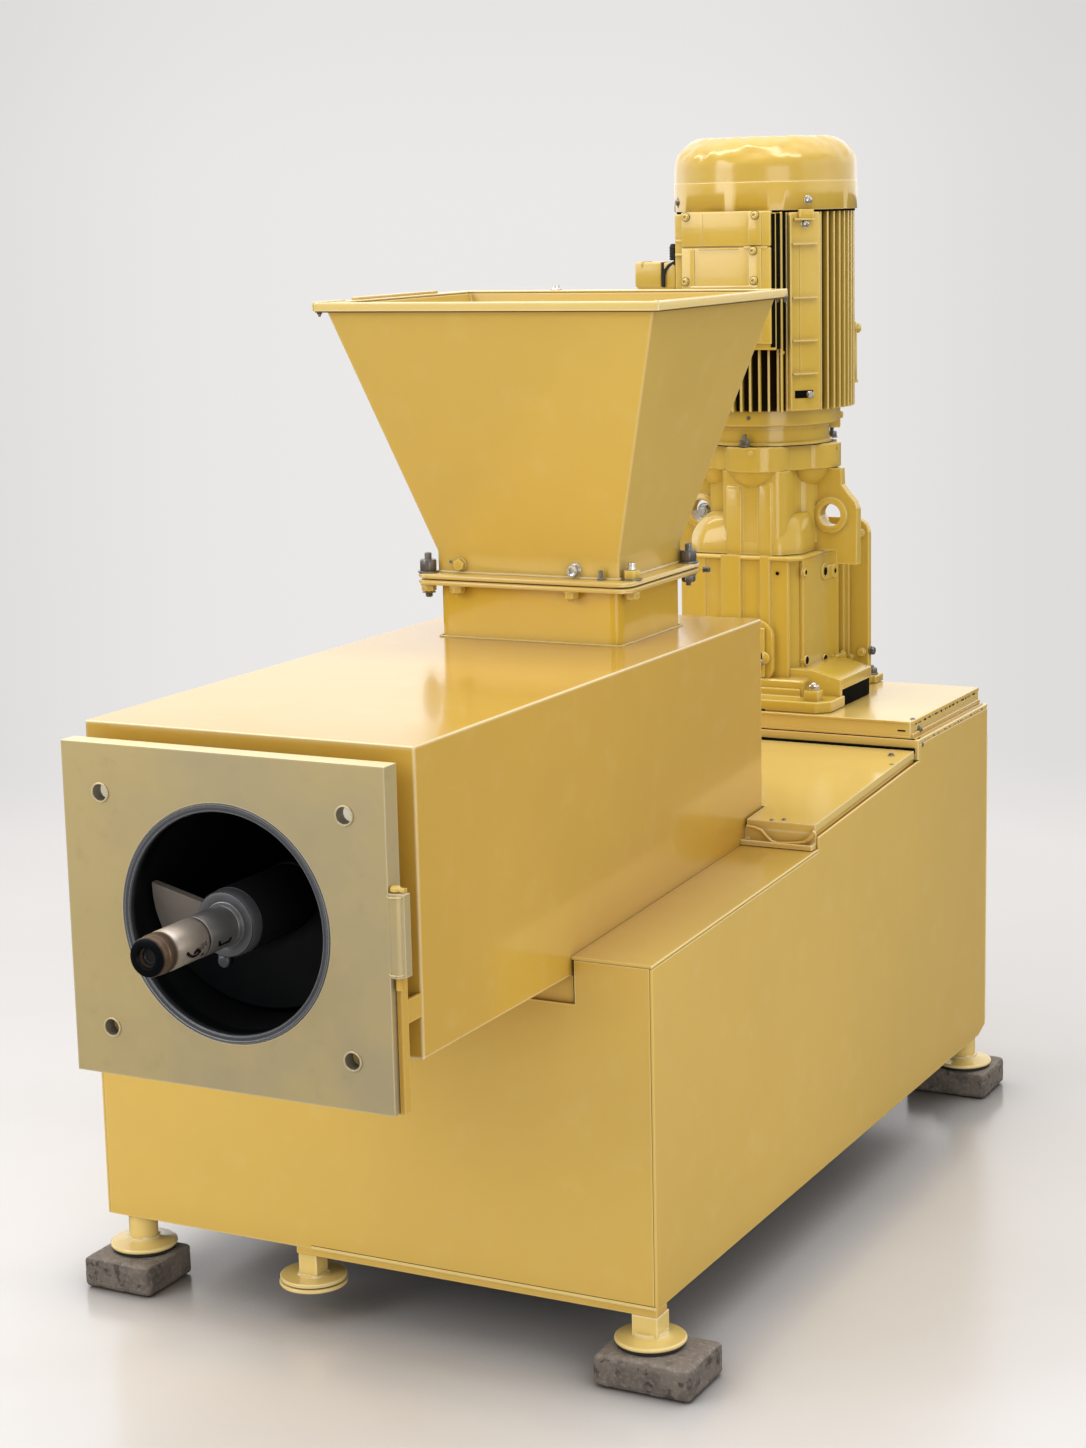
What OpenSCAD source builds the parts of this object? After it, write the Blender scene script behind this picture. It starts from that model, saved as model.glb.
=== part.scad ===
// Soap plodder: a worm press in a square barrel housing on a sheet-metal base,
// fed by a hopper and driven by a vertical gearmotor.
// Millimetres. +Z up, the barrel mouth faces -Y, floor at z = 0.

/* [Base cabinet] */
// Width of the cabinet
base_w = 800; // [700:5:1000]
// Length of the cabinet
base_l = 1222; // [1150:2:1500]
// Height of the lower edge of the panels above the floor
panel_z = 93; // [85:1:120]
// Thickness of the cabinet sheet
sheet_t = 4; // [3:0.5:6]
// Height of the side ledge at the front
ledge_z = 518; // [500:1:540]
// Rise of the ledge from the front to the deck
ledge_rise = 24; // [10:1:30]
// Where the sloping deck starts, from the front panel
deck_y = 521; // [500:1:560]
// Height of the panel edge where the deck starts
deck_z = 558; // [550:1:565]
// Rise of the deck towards the plinth
deck_rise = 28; // [20:1:32]
// Gap between the panel edge and the top of the deck sheet
deck_lift = 16; // [10:1:18]

/* [Plinth] */
// Length of the drive plinth at the rear of the cabinet
plinth_l = 314; // [300:1:360]
// Height of the top of the lower plinth plate
plinth_low_z = 617; // [612:1:625]
// Height of the top of the upper plinth plate
plinth_top_z = 643; // [640:1:660]
// Inset of the upper plinth plate from the cabinet sides
plinth_inset = 12; // [6:1:30]
// Height of the folded lip in front of the lower plinth plate
plinth_lip = 30; // [24:1:32]

/* [Feet] */
// Diameter of the foot discs
foot_disc_d = 86; // [70:1:100]
// Thickness of the foot discs
foot_disc_t = 5; // [4:0.5:8]
// Width of the square front posts
foot_post_w = 34; // [28:1:40]
// Diameter of the round stems
foot_stem_d = 38; // [30:1:42]
// Height of the bricks under the feet
brick_h = 43; // [38:1:50]
// Depth of the bricks
brick_l = 102; // [95:1:115]
// Width of the bricks on the right side
brick_w = 130; // [105:1:140]
// Width of the bricks on the left side
brick_left_w = 106; // [95:1:130]

/* [Barrel] */
// Width of the barrel housing
barrel_w = 424; // [400:2:480]
// Height of the barrel housing
barrel_h = 342; // [336:2:400]
// Length of the barrel housing
barrel_l = 931; // [880:1:1000]
// Overhang of the housing in front of the cabinet
barrel_overhang = 349; // [300:1:400]
// Height of the underside of the housing
barrel_z = 494; // [480:1:500]
// Offset of the barrel to the right of the cabinet centre
barrel_x = 82; // [0:1:90]
// Height of the worm axis
axis_z = 635; // [632:1:650]
// Inside radius of the barrel tube
tube_r = 126; // [115:0.5:128]
// Wall of the barrel tube
tube_wall = 9.5; // [6:0.5:9.5]

/* [Front plate] */
// Width of the front plate
plate_w = 412; // [380:1:440]
// Height of the front plate
plate_h = 377; // [350:1:400]
// Thickness of the front plate
plate_t = 25; // [16:1:30]
// Gap between the housing and the front plate
plate_gap = 28; // [20:1:40]
// Width of the bolt pattern
bolt_w = 312; // [300:1:330]
// Height of the bolt pattern
bolt_h = 267; // [250:1:300]
// Radius of the bolt holes
bolt_r = 9.5; // [7:0.5:11]
// How much smaller the mouth ring is than the barrel tube, in radius
mouth_step = 2; // [1:0.5:6]
// Wall of the mouth ring
ring_wall = 9.5; // [6:0.5:12]

/* [Plate hinge] */
// Radius of the hinge pin
pin_r = 4; // [3:0.5:5]
// Running clearance round the hinge pin
pin_clearance = 0.05; // [0.02:0.01:0.1]
// Radius of the hinge knuckle
knuckle_r = 9.5; // [8:0.5:11]
// Length of the hinge knuckle
knuckle_l = 91; // [60:1:120]
// Height of the knuckle above the lower edge of the plate
knuckle_rise = 152; // [100:1:160]

/* [Worm] */
// Radius of the worm hub
hub_r = 38; // [32:1:44]
// Gap between the worm flight and the barrel tube
flight_gap = 6; // [5:0.5:12]
// Pitch of the worm flight
flight_pitch = 210; // [150:5:260]
// Radius of the journal in front of the hub
journal_r = 23; // [19:0.5:26]
// Length of the journal
journal_l = 58; // [45:1:70]
// Length of the nose of the shaft
nose_l = 87; // [70:1:110]
// Radius of the rear shaft in its bearing
rear_shaft_r = 30; // [25:0.5:34]

/* [Hopper] */
// Width of the throat under the hopper
neck_w = 262; // [220:1:280]
// Depth of the throat under the hopper
neck_l = 187; // [160:1:220]
// Height of the throat above the housing
neck_h = 77; // [50:1:90]
// Centre of the throat, from the front panel
neck_y = 401; // [380:1:420]
// Offset of the hopper from the barrel centre
hopper_shift_x = 4; // [-5:0.5:5]
// Overhang of the flanges round the throat
flange_lip = 24; // [20:1:40]
// Thickness of each flange
flange_t = 6.5; // [5:0.5:10]
// Thickness of the gasket between the flanges
gasket_t = 1.5; // [1:0.5:4]
// Width of the hopper mouth
mouth_w = 462; // [420:1:560]
// Depth of the hopper mouth
mouth_l = 382; // [340:1:460]
// Height of the hopper above its flange
hopper_h = 349; // [300:1:450]
// Height of the upright skirt under the sloping walls
skirt_h = 27; // [15:1:35]
// Wall of the hopper sheet
hopper_wall = 4; // [3:0.5:6]
// Width of the rim round the mouth
rim_lip = 10; // [8:1:20]
// Height of the rim
rim_h = 11; // [8:1:16]

/* [Gearbox] */
// Offset of the drive to the right of the cabinet centre
drive_x = 99; // [60:1:120]
// Distance of the drive axis from the rear of the cabinet
drive_back = 150; // [140:1:160]
// Width of the gearbox body
gear_w = 188; // [170:1:240]
// Offset of the gearbox body from the drive axis
gear_shift_x = -10; // [-20:1:20]
// Depth of the gearbox body
gear_l = 192; // [180:1:220]
// Height of the underside of the gearbox body above the plinth
gear_lift = 29; // [24:1:40]
// Height of the gearbox body
gear_h = 194; // [170:1:230]
// Height of the bell above the body
bell_h = 124; // [100:1:150]
// Radius of the flange on the bell
gear_flange_r = 112; // [100:1:118]
// Thickness of the flange on the bell
gear_flange_t = 38; // [26:1:44]
// Width over the mounting feet
gear_foot_w = 314; // [290:1:340]

/* [Motor] */
// Radius over the cooling fins
fin_r = 132; // [120:1:150]
// Depth of the cooling fins
fin_depth = 17; // [10:1:22]
// Number of cooling fins
fin_count = 60; // [40:4:72]
// Height of the finned body
fin_h = 292; // [250:1:340]
// Radius of the fan cowl
cowl_r = 135; // [125:1:155]
// Height of the fan cowl
cowl_h = 104; // [80:1:130]

/* [Hidden] */
$fn = 72;
hull_fn = 32;

paint = "#D6B25A";
plate_metal = "#BCA878";
steel = "#6A6866";
dark = "#26272A";
concrete = "#77706A";

// Places worked out from the driving sizes
half_w = base_w / 2;
pad_t = 5;
foot_inset = 18;
foot_left_inset = 38;
rear_foot_inset = 30;
foot_z = brick_h + pad_t;
side_top_z = plinth_low_z - 7;
plinth_front = base_l - plinth_l;
deck_end = plinth_front - 5;
drive_y = base_l - drive_back;

barrel_front = -barrel_overhang;
barrel_back = barrel_front + barrel_l;
barrel_top = barrel_z + barrel_h;
barrel_left = barrel_x - barrel_w / 2;
barrel_right = barrel_x + barrel_w / 2;
housing_wall = 5;

ring_r = tube_r - mouth_step;
flight_r = tube_r - flight_gap;
plate_back = barrel_front - plate_gap;
plate_front = plate_back - plate_t;
plate_right = barrel_x + plate_w / 2;
plate_low_z = axis_z - plate_h / 2;
seat_gap = 0.5;

pin_offset = 5.5;
pin_depth = 8;
pin_x = plate_right + pin_offset;
pin_y = plate_front + pin_depth;
knuckle_z = plate_low_z + knuckle_rise;

tube_front = plate_back + seat_gap;
tube_back = barrel_back - housing_wall;
bearing_t = 36;
worm_gap = 5.5;
flight_front = plate_back + worm_gap;
flight_back = tube_back - bearing_t - 12;
collar_l = 16;
collar_r = hub_r - 2;
hub_front = plate_front + collar_l;

neck_x = barrel_x + hopper_shift_x;
neck_wall = 5;
neck_top = barrel_top + neck_h;
flange_w = neck_w + 2 * flange_lip;
flange_l = neck_l + 2 * flange_lip;
gasket_z = neck_top;
hopper_flange_z = gasket_z + gasket_t;
skirt_z = hopper_flange_z + flange_t;
slope_z = skirt_z + skirt_h;
mouth_z = skirt_z + hopper_h;

gear_z = plinth_top_z + gear_lift;
bell_z = gear_z + gear_h;
gear_flange_z = bell_z + bell_h;
adapter_z = gear_flange_z + gear_flange_t;
adapter_r = 94;
adapter_h = 30;
shield_r = 108;
shield_h = 24;
fin_z = adapter_z + adapter_h + shield_h;
cowl_z = fin_z + fin_h;

// The origin is moved under the centre of the whole machine
brick_right_x = half_w - foot_inset + 12.5;
brick_left_x = -half_w + foot_left_inset - 2;
brick_rear_x = brick_right_x - 37;
brick_front_y = 11;
brick_rear_y = base_l - 17;
nose_y = plate_front - (journal_l + nose_l);
shift_x = -(brick_right_x + brick_w / 2 + brick_left_x - brick_left_w / 2) / 2;
shift_y = -(nose_y + brick_rear_y + brick_l / 2) / 2;

module machine() { translate([shift_x, shift_y, 0]) children(); }

// A block given by its low and high corners
module block(low, high) { translate(low) cube(high - low); }

// An outline in the Y-Z plane, pulled along +X from x
module side_profile(x, t, points) {
    translate([x, 0, 0]) rotate([90, 0, 90]) linear_extrude(t) polygon(points);
}

// A cylinder along +Y
module rod_y(x, y, z, r, l) { translate([x, y, z]) rotate([-90, 0, 0]) cylinder(r = r, h = l); }

// A plate with round corners, lying flat
module round_plate(x, y, z, w, l, t, r) {
    translate([x, y, z]) linear_extrude(t) hull()
        for (i = [-1, 1], j = [-1, 1])
            translate([i * (w / 2 - r), j * (l / 2 - r)]) circle(r, $fn = hull_fn);
}

// ---- Base cabinet ----

// Height of the ledge at a place along the cabinet
function ledge_at(y) = ledge_z + ledge_rise * y / deck_y;
function deck_edge_at(y) = deck_z + deck_rise * (y - deck_y) / (plinth_front - deck_y);

module base_front_panel() {
    cut_gap = 4;
    cut_drop = 34;
    color(paint) difference() {
        block([-half_w + sheet_t, 0, panel_z], [half_w - sheet_t, sheet_t, ledge_z - sheet_t]);
        block([barrel_left - cut_gap, -1, barrel_z - cut_drop],
              [barrel_right + cut_gap, sheet_t + 1, ledge_z]);
    }
}

module side_panel(x) {
    corner = 30;
    lip_t = 6;
    color(paint) side_profile(x, sheet_t, [
        [0, panel_z], [base_l - corner, panel_z], [base_l, panel_z + corner / 3],
        [base_l, side_top_z], [plinth_front + lip_t, side_top_z],
        [plinth_front + lip_t, plinth_low_z - plinth_lip - 1],
        [plinth_front, plinth_low_z - plinth_lip - 1],
        [deck_y, deck_z], [deck_y, ledge_at(deck_y) - sheet_t], [0, ledge_z - sheet_t]]);
}

module base_right_panel() { side_panel(half_w - sheet_t); }

module base_left_panel() { side_panel(-half_w); }

module base_rear_panel() {
    color(paint) block([-half_w + sheet_t, base_l - sheet_t, panel_z + 12],
                       [half_w - sheet_t, base_l, side_top_z]);
}

module ledge_cover(x0, x1) {
    side_profile(x0, x1 - x0, [
        [0, ledge_z], [0, ledge_z - sheet_t],
        [deck_y, ledge_at(deck_y) - sheet_t], [deck_y, ledge_at(deck_y)]]);
}

module ledge_covers() {
    color(paint) {
        ledge_cover(barrel_right, half_w);
        ledge_cover(-half_w, barrel_left);
    }
}

// Angle frame round the bottom of the cabinet, with a rail showing under the front panel
module bottom_frame() {
    rail_h = 40;
    rail_w = 30;
    rail_show = 10;
    in = sheet_t;
    color(paint) {
        difference() {
            block([-half_w + in, in, panel_z], [half_w - in, base_l - in, panel_z + rail_h]);
            block([-half_w + in + rail_w, in + rail_w, panel_z - 1],
                  [half_w - in - rail_w, base_l - in - rail_w, panel_z + rail_h + 1]);
            block([-half_w, base_l - in - 50, panel_z - 1], [half_w, base_l, rear_rail_z]);
        }
        block([middle_foot_x - 14, 1, panel_z - rail_show], [half_w - 1, rail_w, panel_z]);
    }
}
middle_foot_x = barrel_x - 176;
rear_rail_z = panel_z + 14;

// Cross bearer that carries the overhanging barrel housing inside the cabinet
module barrel_saddle() {
    bearer_l = 60;
    back_y = deck_y - 40;
    foot = panel_z + 40;
    color(paint) {
        for (y = [22, back_y])
            difference() {
                block([-half_w + sheet_t, y, foot], [half_w - sheet_t, y + bearer_l, barrel_z]);
                block([-half_w + 60, y - 1, foot - 1], [half_w - 60, y + bearer_l + 1, foot + 240]);
            }
        block([barrel_left + 30, 22 + bearer_l, barrel_z - 30],
              [barrel_right - 30, back_y, barrel_z]);
    }
}

// Sloping sheet between the barrel and the plinth, with its edges folded down
module deck_cover() {
    t = 3;
    fold = 12;
    side = half_w - 5;
    z0 = deck_z + deck_lift;
    z1 = deck_edge_at(deck_end) + deck_lift;
    color(paint) difference() {
        union() {
            side_profile(-side, 2 * side,
                [[deck_y, z0], [deck_end, z1], [deck_end, z1 - t], [deck_y, z0 - t]]);
            for (x = [-side, side - t])
                side_profile(x, t, [[deck_y, z0 - 1], [deck_end, z1 - 1],
                    [deck_end, z1 - fold], [deck_y, z0 - fold]]);
            block([-side, deck_y, z0 - fold], [side, deck_y + t, z0 - 1]);
        }
        block([barrel_left - 3, 0, barrel_z], [barrel_right + 3, barrel_back + 3, barrel_top]);
    }
}

// Pressed tray that closes the step between the ledges and the deck
module deck_tray() {
    t = 3;
    rim = 16;
    z0 = ledge_at(deck_y);
    top = deck_z + deck_lift - 12;
    for (side = [[barrel_right, half_w - sheet_t], [-half_w + sheet_t, barrel_left]])
        color(paint) {
            block([side[0], deck_y, z0 - 8], [side[1], deck_y + t, top]);
            difference() {
                block([side[0], deck_y - rim, z0], [side[1], deck_y, z0 + 7]);
                block([side[0] + 6, deck_y - rim + t, z0 + t],
                      [side[1] - 6, deck_y + 1, z0 + 8]);
            }
        }
}

// ---- Plinth ----

module plinth_lower() {
    lip_t = 6;
    color(paint) {
        block([-half_w, plinth_front, side_top_z], [half_w, base_l, plinth_low_z]);
        block([-half_w, plinth_front, plinth_low_z - plinth_lip],
              [half_w, plinth_front + lip_t, side_top_z]);
        block([-half_w + 5, plinth_front + lip_t, side_top_z - 40],
              [half_w - 5, plinth_front + lip_t + 8, side_top_z]);
    }
}

module plinth_upper() {
    color(paint) block([-half_w + plinth_inset, plinth_front + 1, plinth_low_z],
                       [half_w - plinth_inset, base_l - 8, plinth_top_z]);
}

// ---- Feet ----

// A foot: square post or round stem on a round disc
module foot(x, y, stem_top, square_w) {
    color(paint) translate([x, y, foot_z]) {
        cylinder(r = foot_disc_d / 2, h = foot_disc_t);
        if (square_w > 0)
            translate([-square_w / 2, -square_w / 2, 0]) cube([square_w, square_w, stem_top - foot_z]);
        else
            cylinder(r = foot_stem_d / 2, h = stem_top - foot_z);
    }
}

front_foot_y = foot_inset;
rear_foot_y = base_l - rear_foot_inset;
right_foot_x = half_w - foot_inset;
rear_right_x = half_w - 26;
left_foot_x = -half_w + foot_left_inset;
rail_z = panel_z - 10;
module foot_front_right() { foot(right_foot_x, front_foot_y, rail_z, foot_post_w); }
module foot_front_left() { foot(left_foot_x, front_foot_y + 6, panel_z, 0); }
module foot_front_middle() {
    square_w = 27;
    bolt_drop = 7;
    foot(middle_foot_x, front_foot_y, rail_z, square_w);
    color(paint) translate([middle_foot_x, front_foot_y, foot_z - bolt_drop])
        cylinder(r = 7, h = bolt_drop);
}
module foot_rear_right() { foot(rear_right_x, rear_foot_y, rear_rail_z, 0); }
module foot_rear_left() { foot(left_foot_x, rear_foot_y, rear_rail_z, 0); }

FOOT_PLACES = [[right_foot_x, front_foot_y], [left_foot_x, front_foot_y + 6],
               [rear_right_x, rear_foot_y], [left_foot_x, rear_foot_y]];

module foot_pads() {
    color(dark) for (p = FOOT_PLACES)
        translate([p[0], p[1], brick_h]) cylinder(r = foot_disc_d / 2 - 1, h = pad_t);
}

// One brick, given by its centre
module brick(x, y, w) { block([x - w / 2, y - brick_l / 2, 0], [x + w / 2, y + brick_l / 2, brick_h]); }

module support_bricks() {
    color(concrete) {
        brick(brick_right_x, brick_front_y, brick_w);
        brick(brick_left_x, brick_front_y, brick_left_w);
        brick(brick_rear_x, brick_rear_y, brick_w);
        brick(brick_left_x, brick_rear_y, brick_left_w);
    }
}

// ---- Barrel ----

module barrel_housing() {
    w = housing_wall;
    color(paint) difference() {
        block([barrel_left, barrel_front, barrel_z], [barrel_right, barrel_back, barrel_top]);
        block([barrel_left + w, barrel_front + w, barrel_z + w],
              [barrel_right - w, barrel_back - w, barrel_top - w]);
        rod_y(barrel_x, barrel_front - 1, axis_z, tube_r + tube_wall + 0.2, w + 2);
        block([neck_x - neck_w / 2, neck_y - neck_l / 2, barrel_top - w - 1],
              [neck_x + neck_w / 2, neck_y + neck_l / 2, barrel_top + 1]);
    }
}

module barrel_tube() {
    throat = 22;
    color(steel) difference() {
        rod_y(barrel_x, tube_front, axis_z, tube_r + tube_wall, tube_back - tube_front);
        rod_y(barrel_x, tube_front - 1, axis_z, tube_r, tube_back - bearing_t - tube_front + 1);
        rod_y(barrel_x, tube_back - bearing_t - 1, axis_z, rear_shaft_r + 0.05, bearing_t + 2);
        block([neck_x - neck_w / 2 + throat, neck_y - neck_l / 2 + throat, axis_z + 10],
              [neck_x + neck_w / 2 - throat, neck_y + neck_l / 2 - throat, barrel_top]);
    }
}

// ---- Hopper ----

module neck() {
    r = 14;
    saddle_z = axis_z + 96;
    h = neck_top - flange_t - saddle_z;
    color(paint) difference() {
        round_plate(neck_x, neck_y, saddle_z, neck_w, neck_l, h + flange_t, r);
        round_plate(neck_x, neck_y, saddle_z - 1, neck_w - 2 * neck_wall,
                    neck_l - 2 * neck_wall, h + flange_t + 2, r - neck_wall);
        rod_y(barrel_x, neck_y - neck_l, axis_z, tube_r + tube_wall + 0.2, 2 * neck_l);
    }
}

// A flat ring that follows the throat
module flange_ring(z, t, hole_w, hole_l) {
    difference() {
        round_plate(neck_x, neck_y, z, flange_w, flange_l, t, 10);
        translate([neck_x - hole_w / 2, neck_y - hole_l / 2, z - 1]) cube([hole_w, hole_l, t + 2]);
    }
}

module neck_flange() {
    color(paint) flange_ring(neck_top - flange_t, flange_t, neck_w, neck_l);
}

module flange_gasket() {
    color(dark) difference() {
        round_plate(neck_x, neck_y, gasket_z, flange_w - 3, flange_l - 3, gasket_t, 9);
        translate([neck_x - neck_w / 2, neck_y - neck_l / 2, gasket_z - 1])
            cube([neck_w, neck_l, gasket_t + 2]);
    }
}

module hopper_flange() {
    color(paint) flange_ring(hopper_flange_z, flange_t,
                             neck_w - 2 * hopper_wall, neck_l - 2 * hopper_wall);
}

// A pyramid frustum with its mouth up
module funnel(w0, l0, z0, w1, l1, z1) {
    translate([neck_x, neck_y, 0]) hull() {
        translate([-w0 / 2, -l0 / 2, z0]) cube([w0, l0, 0.01]);
        translate([-w1 / 2, -l1 / 2, z1 - 0.01]) cube([w1, l1, 0.01]);
    }
}

module hopper_body() {
    t = 2 * hopper_wall;
    color(paint) difference() {
        union() {
            translate([neck_x - neck_w / 2, neck_y - neck_l / 2, skirt_z])
                cube([neck_w, neck_l, skirt_h]);
            funnel(neck_w, neck_l, slope_z, mouth_w, mouth_l, mouth_z);
        }
        translate([neck_x - (neck_w - t) / 2, neck_y - (neck_l - t) / 2, skirt_z - 1])
            cube([neck_w - t, neck_l - t, skirt_h + 1.1]);
        funnel(neck_w - t, neck_l - t, slope_z, mouth_w - t, mouth_l - t, mouth_z + 0.01);
    }
}

module hopper_rim() {
    w = mouth_w + 2 * rim_lip;
    l = mouth_l + 2 * rim_lip;
    top_lap = 3;
    rim_z = mouth_z - rim_h + top_lap;
    in_w = mouth_w - 2 * hopper_wall;
    in_l = mouth_l - 2 * hopper_wall;
    color(paint) translate([neck_x, neck_y, rim_z]) difference() {
        translate([-w / 2, -l / 2, 0]) cube([w, l, rim_h]);
        translate([-mouth_w / 2 - 0.2, -mouth_l / 2 - 0.2, -1])
            cube([mouth_w + 0.4, mouth_l + 0.4, rim_h + 1 - top_lap]);
        translate([-in_w / 2, -in_l / 2, 0]) cube([in_w, in_l, rim_h + 1]);
    }
}

// ---- Front plate and its hinge ----

module front_plate() {
    leaf_t = 3.5;
    color(plate_metal) difference() {
        union() {
            block([barrel_x - plate_w / 2, plate_front, plate_low_z],
                  [plate_right, plate_back, plate_low_z + plate_h]);
            translate([pin_x, pin_y, knuckle_z]) cylinder(r = knuckle_r, h = knuckle_l);
            block([plate_right - 1, pin_y, knuckle_z], [pin_x, pin_y + 9, knuckle_z + knuckle_l]);
            block([pin_x + knuckle_r - 1, pin_y - 5, knuckle_z + 1],
                  [pin_x + knuckle_r - 1 + leaf_t, pin_y + 7, knuckle_z + knuckle_l - 1]);
        }
        rod_y(barrel_x, plate_front - 1, axis_z, ring_r + ring_wall + 0.1, plate_t + 2);
        for (i = [-1, 1], j = [-1, 1])
            rod_y(barrel_x + i * bolt_w / 2, plate_front - 1, axis_z + j * bolt_h / 2,
                  bolt_r, plate_t + 2);
        translate([pin_x, pin_y, knuckle_z - 1])
            cylinder(r = pin_r + pin_clearance, h = knuckle_l + 2);
    }
}

module mouth_ring() {
    proud = 1.5;
    bevel = 4;
    r1 = ring_r + ring_wall;
    color(steel) translate([barrel_x, plate_back, axis_z]) rotate([90, 0, 0]) rotate_extrude()
        polygon([[ring_r, 0], [r1, 0], [r1, plate_t + proud], [ring_r + bevel, plate_t + proud],
                 [ring_r, plate_t + proud - bevel]]);
}

// Fixed post beside the plate, with the pin that the knuckle turns on
module hinge_post() {
    side_gap = 1.2;
    post_w = 6;
    gap = 0.5;
    head_h = 6;
    head_r = pin_r + 0.4;
    tab_l = 8;
    shoulder = 14;
    arm_h = 26;
    left = plate_right + side_gap;
    top = knuckle_z - gap;
    color(paint) {
        block([left, pin_y + 1, plate_low_z], [left + post_w, plate_back - 3, top]);
        block([left, plate_back - 4, plate_low_z + 96], [left + 4, barrel_front, plate_low_z + 96 + arm_h]);
        translate([pin_x, pin_y, top - shoulder])
            cylinder(r = pin_r, h = shoulder + knuckle_l + 2 * gap + 1);
        translate([pin_x, pin_y, knuckle_z + knuckle_l + gap]) cylinder(r = head_r, h = head_h);
        block([pin_x, pin_y - 2, knuckle_z + knuckle_l + gap + 1],
              [pin_x + pin_r + tab_l, pin_y + 2, knuckle_z + knuckle_l + gap + head_h - 1]);
    }
}

// ---- Worm ----

module worm_hub() {
    rear_y = tube_back - bearing_t - 5;
    end_gap = 5;
    color(steel) {
        rod_y(barrel_x, plate_front, axis_z, collar_r, collar_l);
        rod_y(barrel_x, hub_front, axis_z, hub_r, rear_y - hub_front);
        rod_y(barrel_x, rear_y, axis_z, rear_shaft_r, tube_back - end_gap - rear_y);
    }
}

// One helical blade, wound round the hub: each station has four corners, front and back,
// at the root and at the rim
module worm_flight() {
    blade_t = 11;
    step = 12;
    start = 166;
    turn = 360 * (flight_back - flight_front - blade_t) / flight_pitch;
    stations = floor(turn / step);
    root_r = hub_r / cos(step / 2) + 0.05;
    function corner(i, r, back) = [
        r * cos(start + i * step), i * step / 360 * flight_pitch + back, r * sin(start + i * step)];
    points = [for (i = [0:stations], c = [[root_r, 0], [flight_r, 0], [flight_r, blade_t],
                                          [root_r, blade_t]]) corner(i, c[0], c[1])];
    sides = [for (i = [0:stations - 1], k = [0:3])
        let (a = 4 * i + k, b = 4 * i + (k + 1) % 4) each [[a, b, b + 4], [a, b + 4, a + 4]]];
    last = 4 * stations;
    ends = [[3, 2, 1, 0], [last, last + 1, last + 2, last + 3]];
    color(steel) translate([barrel_x, flight_front, axis_z])
        polyhedron(points, concat(sides, ends), convexity = 10);
}

module shaft_journal() {
    color(steel) rod_y(barrel_x, plate_front - journal_l, axis_z, journal_r, journal_l);
}

module shaft_nose() {
    tip_l = 27;
    tip_r = 20;
    centre_r = 9;
    centre_depth = 14;
    nose_r = journal_r - 0.5;
    color(steel) difference() {
        union() {
            rod_y(barrel_x, nose_y + tip_l, axis_z, nose_r, nose_l - tip_l);
            rod_y(barrel_x, nose_y, axis_z, tip_r, tip_l);
        }
        rod_y(barrel_x, nose_y - 1, axis_z, centre_r, centre_depth + 1);
    }
}

// ---- Drive ----

// Outline of the gearbox body: a rectangle with cut corners
module cut_corner_rect(w, l, c) {
    polygon([[-w / 2 + c, -l / 2], [w / 2 - c, -l / 2], [w / 2, -l / 2 + c], [w / 2, l / 2 - c],
             [w / 2 - c, l / 2], [-w / 2 + c, l / 2], [-w / 2, l / 2 - c], [-w / 2, -l / 2 + c]]);
}

module drive() { translate([drive_x, drive_y, 0]) children(); }

// Width of the narrow part of the foot under the body
foot_web = gear_w / 2 + 16;

module gearbox_foot() {
    foot_t = 17;
    front = -gear_l / 2 - 60;
    corner = 18;
    half = gear_foot_w / 2;
    color(paint) drive() {
        translate([0, 0, plinth_top_z]) linear_extrude(foot_t)
            polygon([[-half, front + corner], [-half + corner, front], [half - corner, front],
                     [half, front + corner], [half, -gear_l / 2 + 14], [-half, -gear_l / 2 + 14]]);
        block([gear_shift_x - foot_web, -gear_l / 2 - 26, plinth_top_z + foot_t],
              [gear_shift_x + foot_web, -gear_l / 2 + 14, gear_z]);
        block([gear_shift_x - foot_web, gear_l / 2 - 40, plinth_top_z],
              [gear_shift_x + foot_web, gear_l / 2 - 4, gear_z]);
    }
}

gear_rib = 8;
module gearbox_body() {
    cut = 17;
    rib_t = 7;
    color(paint) drive() translate([gear_shift_x, 0, 0]) {
        translate([0, 0, gear_z]) linear_extrude(gear_h - rib_t) cut_corner_rect(gear_w, gear_l, cut);
        translate([0, 0, bell_z - rib_t]) linear_extrude(rib_t)
            cut_corner_rect(gear_w + 2 * gear_rib, gear_l + 2 * gear_rib, cut);
    }
}

// Outline with four lobes, one for each flange bolt
module lobed(r, lobe_r) {
    lobe_turn = 11.5;
    circle(r * 0.8);
    for (i = [0:3]) rotate(lobe_turn + 90 * i) translate([r - lobe_r, 0]) circle(lobe_r);
}

// Outline of a lug beside the bell, from the body up to the flange
module lug_outline(i) {
    polygon([for (p = [[60, 0], [gear_w / 2 + 20, 0], [gear_w / 2 + 20, -20], [lug_x + 41, -20],
                       [lug_x + 42, lug_z + 8], [lug_x + 38, lug_z + 20], [lug_x + 28, lug_z + 31],
                       [lug_x + 17, lug_z + 45], [lug_x + 16, bell_h], [60, bell_h]])
             [i * p[0], p[1]]]);
}

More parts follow.
